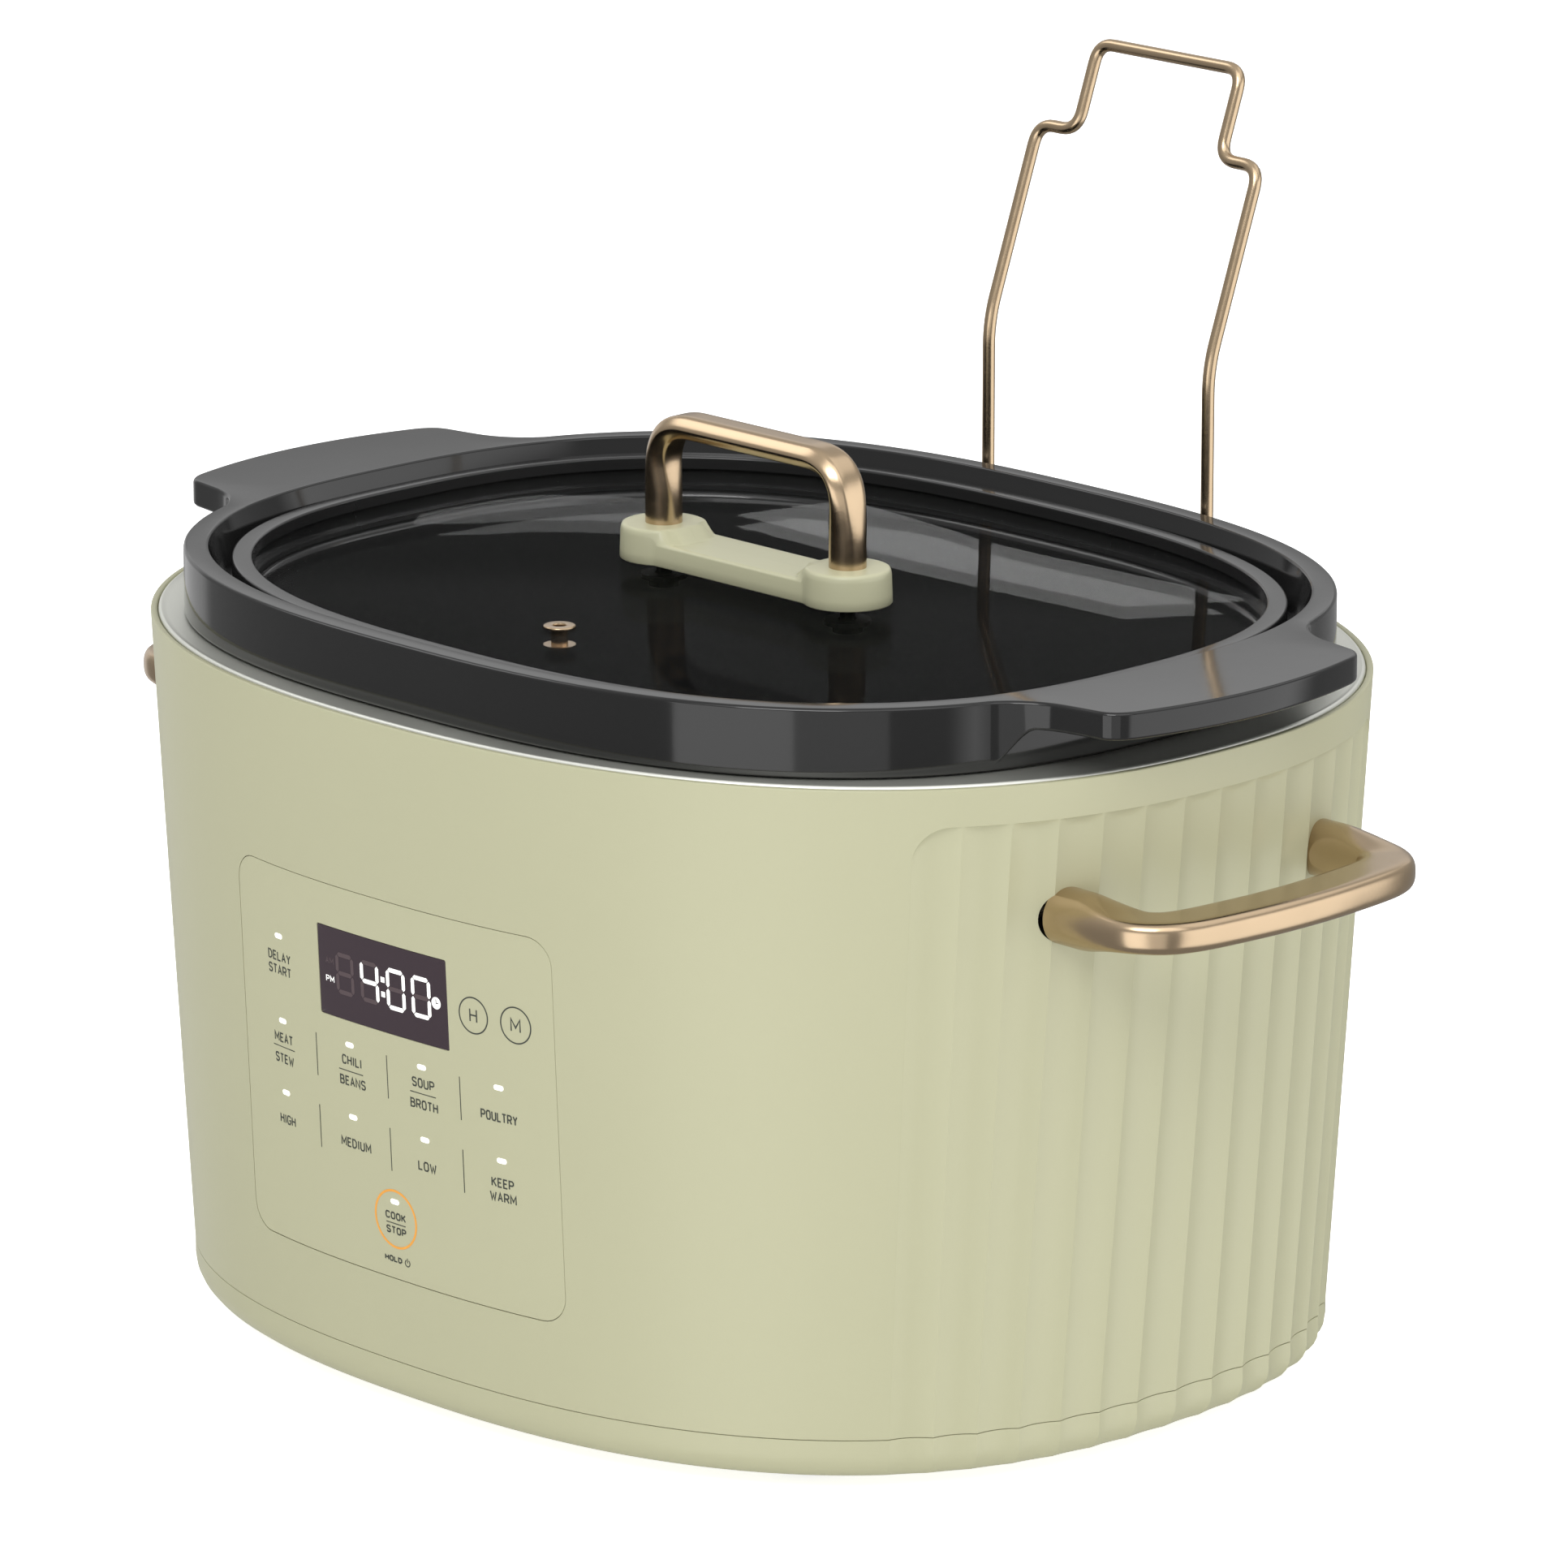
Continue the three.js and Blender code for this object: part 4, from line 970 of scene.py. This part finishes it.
def shrink(outline, distance):
    """A closed outline moved in by a distance, one value or one for each point."""
    along = np.roll(outline, -1, axis=0) - np.roll(outline, 1, axis=0)
    normal = np.column_stack([-along[:, 1], along[:, 0]])
    normal = normal / np.linalg.norm(normal, axis=1)[:, None]
    return outline + normal * np.reshape(distance, (-1, 1))


def crock_inset(z):
    return float(np.interp(z, [0.078, rim_bottom_z], [0.0263, 0.014]))


def crock_pot():
    angles, outline, ear_share = crock_columns()
    bevel = rim_bevel

    def row(inset, z):
        return oval_row(crock_outline, z, inset, angles)

    def top_row(distance, z):
        spots = shrink(outline, distance)
        return np.column_stack([spots, np.broadcast_to(z, len(spots))])

    bottom = crock_low.z
    outside = [(0.047, bottom), *bezier((0.047, bottom), (0.030, bottom), (0.0263, 0.078), 7)]
    outside += [(crock_inset(z), z) for z in (0.12, 0.165, rim_bottom_z - 0.0015)]
    outside += [(0.0128, rim_bottom_z), *arc((bevel, rim_bottom_z + bevel), bevel, -90, -180, 3)]
    rows = [pole(bottom), *rows_at(row, outside)]
    web_z = rim_bottom_z + bevel + 0.0004
    under = web_z + (ear_bottom_z - web_z) * ear_share
    rows.append(np.column_stack([*oval(crock_outline, angles), under]))
    in_ear = np.minimum(1, ear_share * 4)
    for u, v in arc((0, 0), bevel, -90, -180, 3):
        rows.append(top_row((bevel + u) * in_ear, under + 0.0003 + bevel + v))
    rows += rows_at(top_row, arc((bevel, rim_top_z - bevel), bevel, 180, 90, 3))
    soft, curb_z, floor_corner_z = 0.0008, ledge_z + 0.0018, 0.086
    inside = [*arc((0.0061, rim_top_z - soft), soft, 90, 10, 3),
              (0.0083, rim_top_z - 0.0057), (0.0108, curb_z),
              *bezier((0.0108, curb_z), (0.0114, ledge_z), (0.0128, ledge_z), 3),
              *bezier((0.0183, ledge_z), (0.0203, ledge_z), (0.0207, ledge_z - 0.002), 4)]
    inside += [(crock_inset(z) + crock_wall, z) for z in (0.212, 0.19, 0.16, 0.125, floor_corner_z)]
    inside += [*bezier(inside[-1], (0.035, floor_z), (0.060, floor_z), 10)]
    rows += [*rows_at(row, inside), pole(floor_z)]
    add_piece("crock_pot", loft(rows), "crock", "crock", "crock", sharp=36)


# ---------- lid ----------
def glass_z(share):
    return glass_top_z - glass_drop * share * share


def glass_dome():
    half_x, half_y, power = crock_outline

    def row(share, drop):
        outline = ((half_x - glass_edge) * share, (half_y - glass_edge) * share,
                   2 + (power - 2) * share)
        return oval_row(outline, glass_z(share) - drop)

    shares = [0.06, 0.15, 0.25, 0.35, 0.45, 0.55, 0.65, 0.75, 0.84, 0.92, 1.0]
    rows = [pole(glass_z(0) - glass_thickness)]
    rows += [row(share, glass_thickness) for share in shares]
    rows += [row(share, 0) for share in shares[::-1]]
    rows.append(pole(glass_z(0)))
    dome = add_piece("glass_dome", loft(rows), "glass", "lid", "lid_glass", sharp=40)
    cut(dome, *[drill(radius, -0.01, 0.01, (x, y, glass_top_z - 0.002), sides=32)
                for x, y, radius in ((-leg_x, axis_y, 0.0032), (leg_x, axis_y, 0.0032),
                                     (0, vent_y, 0.0029))])
    return dome


def lid_ring():
    bottom = rim_low.z
    edge_top, edge_bottom = glass_z(1), glass_z(1) - glass_thickness
    outside, inside, groove, foot = 0.0132, 0.0188, 0.017, 0.019
    soft = 0.0007
    profile = [(outside, bottom), *arc((outside + soft, ring_top_z - soft), soft, 180, 90, 3),
               *arc((inside - soft, ring_top_z - soft), soft, 90, 0, 3),
               (inside, edge_top + soft), (groove, edge_top + gap), (groove, edge_bottom - gap),
               (foot, edge_bottom - gap), (foot, bottom)]
    add_piece("lid_ring", loft(rows_at(crock_row, profile), ring=True), "black", "lid", "lid_rim",
              sharp=40)


def pad_outline(grow, count=30):
    """Two round lobes joined by a waist, with soft inner corners; and the spine it shrinks to."""
    radius, waist, soften = lobe_radius + grow, waist_half + grow, 0.005
    turn = asin((waist + soften) / (radius + soften))
    corner_x = leg_x - (radius + soften) * cos(turn)
    quarter = [(leg_x + radius * cos(a), radius * sin(a))
               for a in np.linspace(0, pi - turn, count)]
    quarter += [(corner_x + soften * cos(a), waist + soften + soften * sin(a))
                for a in np.linspace(-turn, -pi / 2, 7)[1:]]
    quarter += [(x, waist) for x in np.linspace(corner_x, 0, 12)[1:]]
    outline = four_quarters(np.array(quarter))
    spine = np.column_stack([np.clip(outline[:, 0], -leg_x, leg_x), np.zeros(len(outline))])
    return outline, spine


def handle_pad():
    outline, spine = pad_outline(0.0)
    bottom = pad_low.z
    skirt_z = gasket_low.z - 0.0002

    def top_z(spots):
        away = np.hypot(np.abs(spots[:, 0]) - leg_x, spots[:, 1])
        return waist_z + (pad_z - waist_z) * (1 - smoothstep(away, 0.0123, 0.0137))

    def ring(share, drop=0.0, z=None):
        spots = outline + (spine - outline) * share
        height = top_z(spots) - drop if z is None else np.full(len(spots), z)
        return np.column_stack([spots + [0, axis_y], height])

    soft = 0.0010
    rows = [[(0, axis_y, bottom)], ring(0.5, z=bottom), ring(0.1, z=bottom),
            ring(0.1, z=skirt_z), ring(0.02, z=skirt_z), ring(0.0, z=skirt_z + 0.0003),
            ring(0.004, z=bottom + 0.0015)]
    for angle in np.radians([0, 15, 30, 45, 60, 75, 90]):
        rows.append(ring(0.02 + 0.13 * (1 - cos(angle)), drop=soft * (1 - sin(angle))))
    rows += [ring(share) for share in (0.22, 0.32, 0.44, 0.58, 0.72, 0.86)]
    rows.append(ring(0.999))
    add_piece("handle_pad", loft(rows), "pad", "lid", "lid_handle_pad", 70, False)


def pad_gasket():
    outline = pad_outline(-0.0018)[0]
    low, high = gasket_low.z, gasket_high.z
    soft, width = 0.0003, 0.004

    def ring(distance, z):
        spots = shrink(outline, distance)
        return np.column_stack([spots + [0, axis_y], np.full(len(spots), z)])

    rows = rows_at(ring, [(width, low), (soft, low), (0, low + soft), (0, high - soft),
                          (soft, high), (width, high)])
    add_piece("soft_pad_gasket", loft(rows, ring=True), "silicone", "lid", "pad_gasket")


def handle_bow():
    half_height, half_width, bevel = 0.0036, 0.0069, 0.0030
    bar_z = bow_top_z - half_height
    foot_z = pad_z - 0.0006
    corners = [((-leg_x, axis_y, foot_z), 0), ((-leg_x, axis_y, bar_z), 0.014),
               ((leg_x, axis_y, bar_z), 0.014), ((leg_x, axis_y, foot_z), 0)]
    path = refine(rounded_path(corners, 14), 0.003)

    def section(point, angles):
        flat = smoothstep(point[2], bar_z - 0.024, bar_z - 0.006)
        return bar_section(angles, leg_radius, half_height, half_width, bevel, flat)

    add_piece("handle_bow", sweep(path, (0, 1, 0), section), "champagne", "lid", "lid_handle_bow",
              sharp=60, weighted=False)


def vent_eyelet():
    share = (axis_y - vent_y) / (crock_outline[1] - glass_edge)
    top = glass_z(share) + gap
    bottom = glass_z(share) - glass_thickness - 2 * gap
    flange, bore, barrel, soft = 0.0047, 0.0018, 0.0025, 0.0004
    profile = [(bore, bottom - 0.0006), (bore + 0.0002, bottom - 0.0008),
               (flange - soft, bottom - 0.0008), (flange, bottom - soft), (flange, bottom),
               (barrel, bottom), (barrel, top), (flange, top), (flange, top + soft)]
    profile += arc((flange - soft, top + soft), soft, 30, 90, 2)
    profile += [(0.0026, top + 0.0009), (bore + 0.0002, top + 0.0007), (bore, top + 0.0002)]
    add_piece("vent_eyelet", turned(profile, (0, vent_y, 0), sides=40), "champagne", "lid",
              "steam_vent", sharp=40)


# ---------- rack ----------
def lid_holder():
    def leaning(x, z):
        return (x, rod_y + (z - rack_bend_z) * tan(rack_lean), z)

    half = [((rod_x, rod_y, rack_foot_z), 0), ((rod_x, rod_y, rack_bend_z), 0.008),
            (leaning(rod_x, rack_shoulder_z), 0.0065),
            (leaning(rack_head_x, rack_shoulder_z), 0.0065),
            (leaning(rack_head_x, rack_top_z), 0.006)]
    corners = half + [((-x, y, z), reach) for (x, y, z), reach in half[::-1]]
    path = refine(rounded_path(corners, 8), 0.006)
    add_piece("holder_wire", round_wire(path, wire_radius), "champagne", "rack", "lid_rack",
              sharp=50, weighted=False)


def round_wire(path, radius, sides=20):
    """A round wire along a path that turns in more than one plane."""
    rows, side = [], np.array([0.0, 1.0, 0.0])
    for i, point in enumerate(path):
        tangent = path[min(i + 1, len(path) - 1)] - path[max(i - 1, 0)]
        tangent = tangent / np.linalg.norm(tangent)
        side = side - tangent * (side @ tangent)
        side = side / np.linalg.norm(side)
        other = np.cross(tangent, side)
        angles = rotation_steps(sides)
        rows.append(point + radius * (np.outer(np.cos(angles), side)
                                      + np.outer(np.sin(angles), other)))
    return loft([[path[0]], *rows, [path[-1]]])


# ---------- stage ----------
# The camera: where it stands, what it looks at, and its lens and sensor width in millimetres.
camera_place = (2.0554, -1.9840, 0.9347)
camera_target = (-0.0206, 0.0200, 0.1530)
camera_lens = (230.255, 36)


def aim(thing, place, target):
    thing.location = place
    thing.rotation_mode = "QUATERNION"
    thing.rotation_quaternion = (Vector(target) - Vector(place)).to_track_quat("-Z", "Y")


def camera():
    data = bpy.data.cameras.new("camera")
    data.lens, data.sensor_width = camera_lens
    data.clip_end = 50
    view = add_object("camera", data)
    aim(view, camera_place, camera_target)
    bpy.context.scene.camera = view


def floor():
    mesh = bpy.data.meshes.new("floor")
    size = 20
    mesh.from_pydata([(-size, -size, 0), (size, -size, 0), (size, size, 0), (-size, size, 0)],
                     [], [(0, 1, 2, 3)])
    plane = add_object("floor", mesh)
    material = bpy.data.materials.new("floor_white")
    material.use_nodes = True
    tree = material.node_tree
    shader = tree.nodes["Principled BSDF"]
    set_inputs(shader, Base_Color=(0.86, 0.86, 0.86, 1), Roughness=1.0, Specular_IOR_Level=0.0,
               Emission_Color=(1, 1, 1, 1))
    seen = tree.nodes.new("ShaderNodeLightPath").outputs["Is Camera Ray"]
    glow = tree.nodes.new("ShaderNodeMapRange")
    set_inputs(glow, To_Min=0.35, To_Max=0.75)
    tree.links.new(seen, glow.inputs["Value"])
    tree.links.new(glow.outputs["Result"], shader.inputs["Emission Strength"])
    mesh.materials.append(material)
    plane.visible_glossy = False


# Bright panels of the studio round the object: azimuth of the middle, half width, lowest and
# highest elevation, softness of the edges, all in degrees, and brightness.
studio_panels = [
    (-76.5, 16.5, -40, 12, 0.7, 1.9),
    (-45.0, 15.0, -40, 12, 0.7, 0.7),
    (27.0, 33.0, -35, 20, 12.0, 1.6),
    (163.0, 14.0, -35, 15, 8.0, 0.5),
    (-45.0, 50.0, 32, 72, 8.0, 1.5),
    (60.0, 40.0, 35, 70, 10.0, 0.7),
    (-160.0, 16.0, 32, 54, 6.0, 2.2),
    (136.0, 32.0, 14.0, 30, 2.0, 0.46),
]


def studio_light():
    world = bpy.data.worlds.new("studio")
    bpy.context.scene.world = world
    world.use_nodes = True
    tree = world.node_tree
    tree.nodes.clear()

    def math(operation, a, b=0.0):
        node = tree.nodes.new("ShaderNodeMath")
        node.operation = operation
        for socket, value in zip(node.inputs, (a, b)):
            if isinstance(value, (int, float)):
                socket.default_value = value
            else:
                tree.links.new(value, socket)
        return node.outputs[0]

    def ramp(value, start, end, low=0.0, high=1.0):
        node = tree.nodes.new("ShaderNodeMapRange")
        node.interpolation_type = "SMOOTHSTEP"
        tree.links.new(value, node.inputs["Value"])
        set_inputs(node, From_Min=start, From_Max=end, To_Min=low, To_Max=high)
        return node.outputs["Result"]

    direction = tree.nodes.new("ShaderNodeTexCoord").outputs["Generated"]
    split = tree.nodes.new("ShaderNodeSeparateXYZ")
    tree.links.new(direction, split.inputs[0])
    azimuth = math("DEGREES", math("ARCTAN2", split.outputs["Y"], split.outputs["X"]))
    elevation = math("DEGREES", math("ARCSINE", split.outputs["Z"]))
    light = ramp(elevation, -20, 90, 0.40, 0.95)
    for middle, half, low, high, soft, bright in studio_panels:
        away = math("ABSOLUTE", math("SUBTRACT", azimuth, middle))
        across = ramp(away, half + soft / 2, half - soft / 2)
        above = ramp(elevation, low - soft / 2, low + soft / 2)
        below = ramp(elevation, high + soft / 2, high - soft / 2)
        mask = math("MULTIPLY", across, math("MULTIPLY", above, below))
        light = math("ADD", light, math("MULTIPLY", mask, bright))
    seen = tree.nodes.new("ShaderNodeLightPath").outputs["Is Camera Ray"]
    backdrop = math("MULTIPLY", seen, 1.25)
    strength = math("ADD", math("MULTIPLY", light, math("SUBTRACT", 1.0, seen)), backdrop)
    background = tree.nodes.new("ShaderNodeBackground")
    output = tree.nodes.new("ShaderNodeOutputWorld")
    tree.links.new(strength, background.inputs["Strength"])
    tree.links.new(background.outputs[0], output.inputs["Surface"])


def lid_glow(glass):
    """Two long low softboxes far behind that light only the lid's glass: the azimuth and
    elevation of their middles, width, height and tilt in degrees, and brightness."""
    lit = bpy.data.collections.new("lid_glass_only")
    lit.objects.link(glass)
    distance = 20
    center = Vector((0.0, axis_y, glass_top_z))
    for name, azimuth, elevation, width, height, tilt, bright in (
            ("right", 134.0, 12.1, 4.7, 1.5, -46, 8.0), ("left", 137.9, 10.8, 2.2, 1.1, -8, 5.0)):
        turn, rise = radians(azimuth), radians(elevation)
        away = Vector((cos(turn) * cos(rise), sin(turn) * cos(rise), sin(rise)))
        size = [2 * distance * tan(radians(angle / 2)) for angle in (width, height)]
        power = bright * pi * size[0] * size[1]
        lamp = softbox(f"lid_glow_{name}", center + away * distance, center, size, power)
        lamp.rotation_quaternion @= Quaternion((0, 0, 1), radians(tilt))
        lamp.light_linking.receiver_collection = lit
        lamp.light_linking.blocker_collection = lit


def softbox(name, place, target, size, power):
    data = bpy.data.lights.new(name, "AREA")
    data.shape = "RECTANGLE"
    data.size, data.size_y = size
    data.energy = power
    lamp = add_object(name, data)
    aim(lamp, place, target)
    return lamp


# ---------- the model ----------
camera()
housing_shell()
housing_tray()
feet()
liner_pot()
control_panel()
panel_print()
display_print()
side_handle("end_handle_left", "side_handle_left", -1)
side_handle("end_handle_right", "side_handle_right", 1)
cord_gland()
rack_sockets()
crock_pot()
glass = glass_dome()
lid_ring()
handle_pad()
pad_gasket()
handle_bow()
vent_eyelet()
lid_holder()

for part in frame["record"]["subparts"]:
    node = frame["nodes"][part["node"]]
    # Screws and washers under the lid's glass take the near-black steel: painted shade for the dark
    # inside of the crock, not their own finish.
    under_glass = part["node"].startswith(("lid_screw", "lid_washer"))
    node.data.materials.clear()
    node.data.materials.append(looks["painted_shade" if under_glass else part["material_slot"]])

floor()
studio_light()
lid_glow(glass)
softbox("key", (1.2, -2.2, 2.4), (0, 0, 0.15), (1.6, 1.2), 26)
bpy.context.scene.view_settings.view_transform = "Standard"
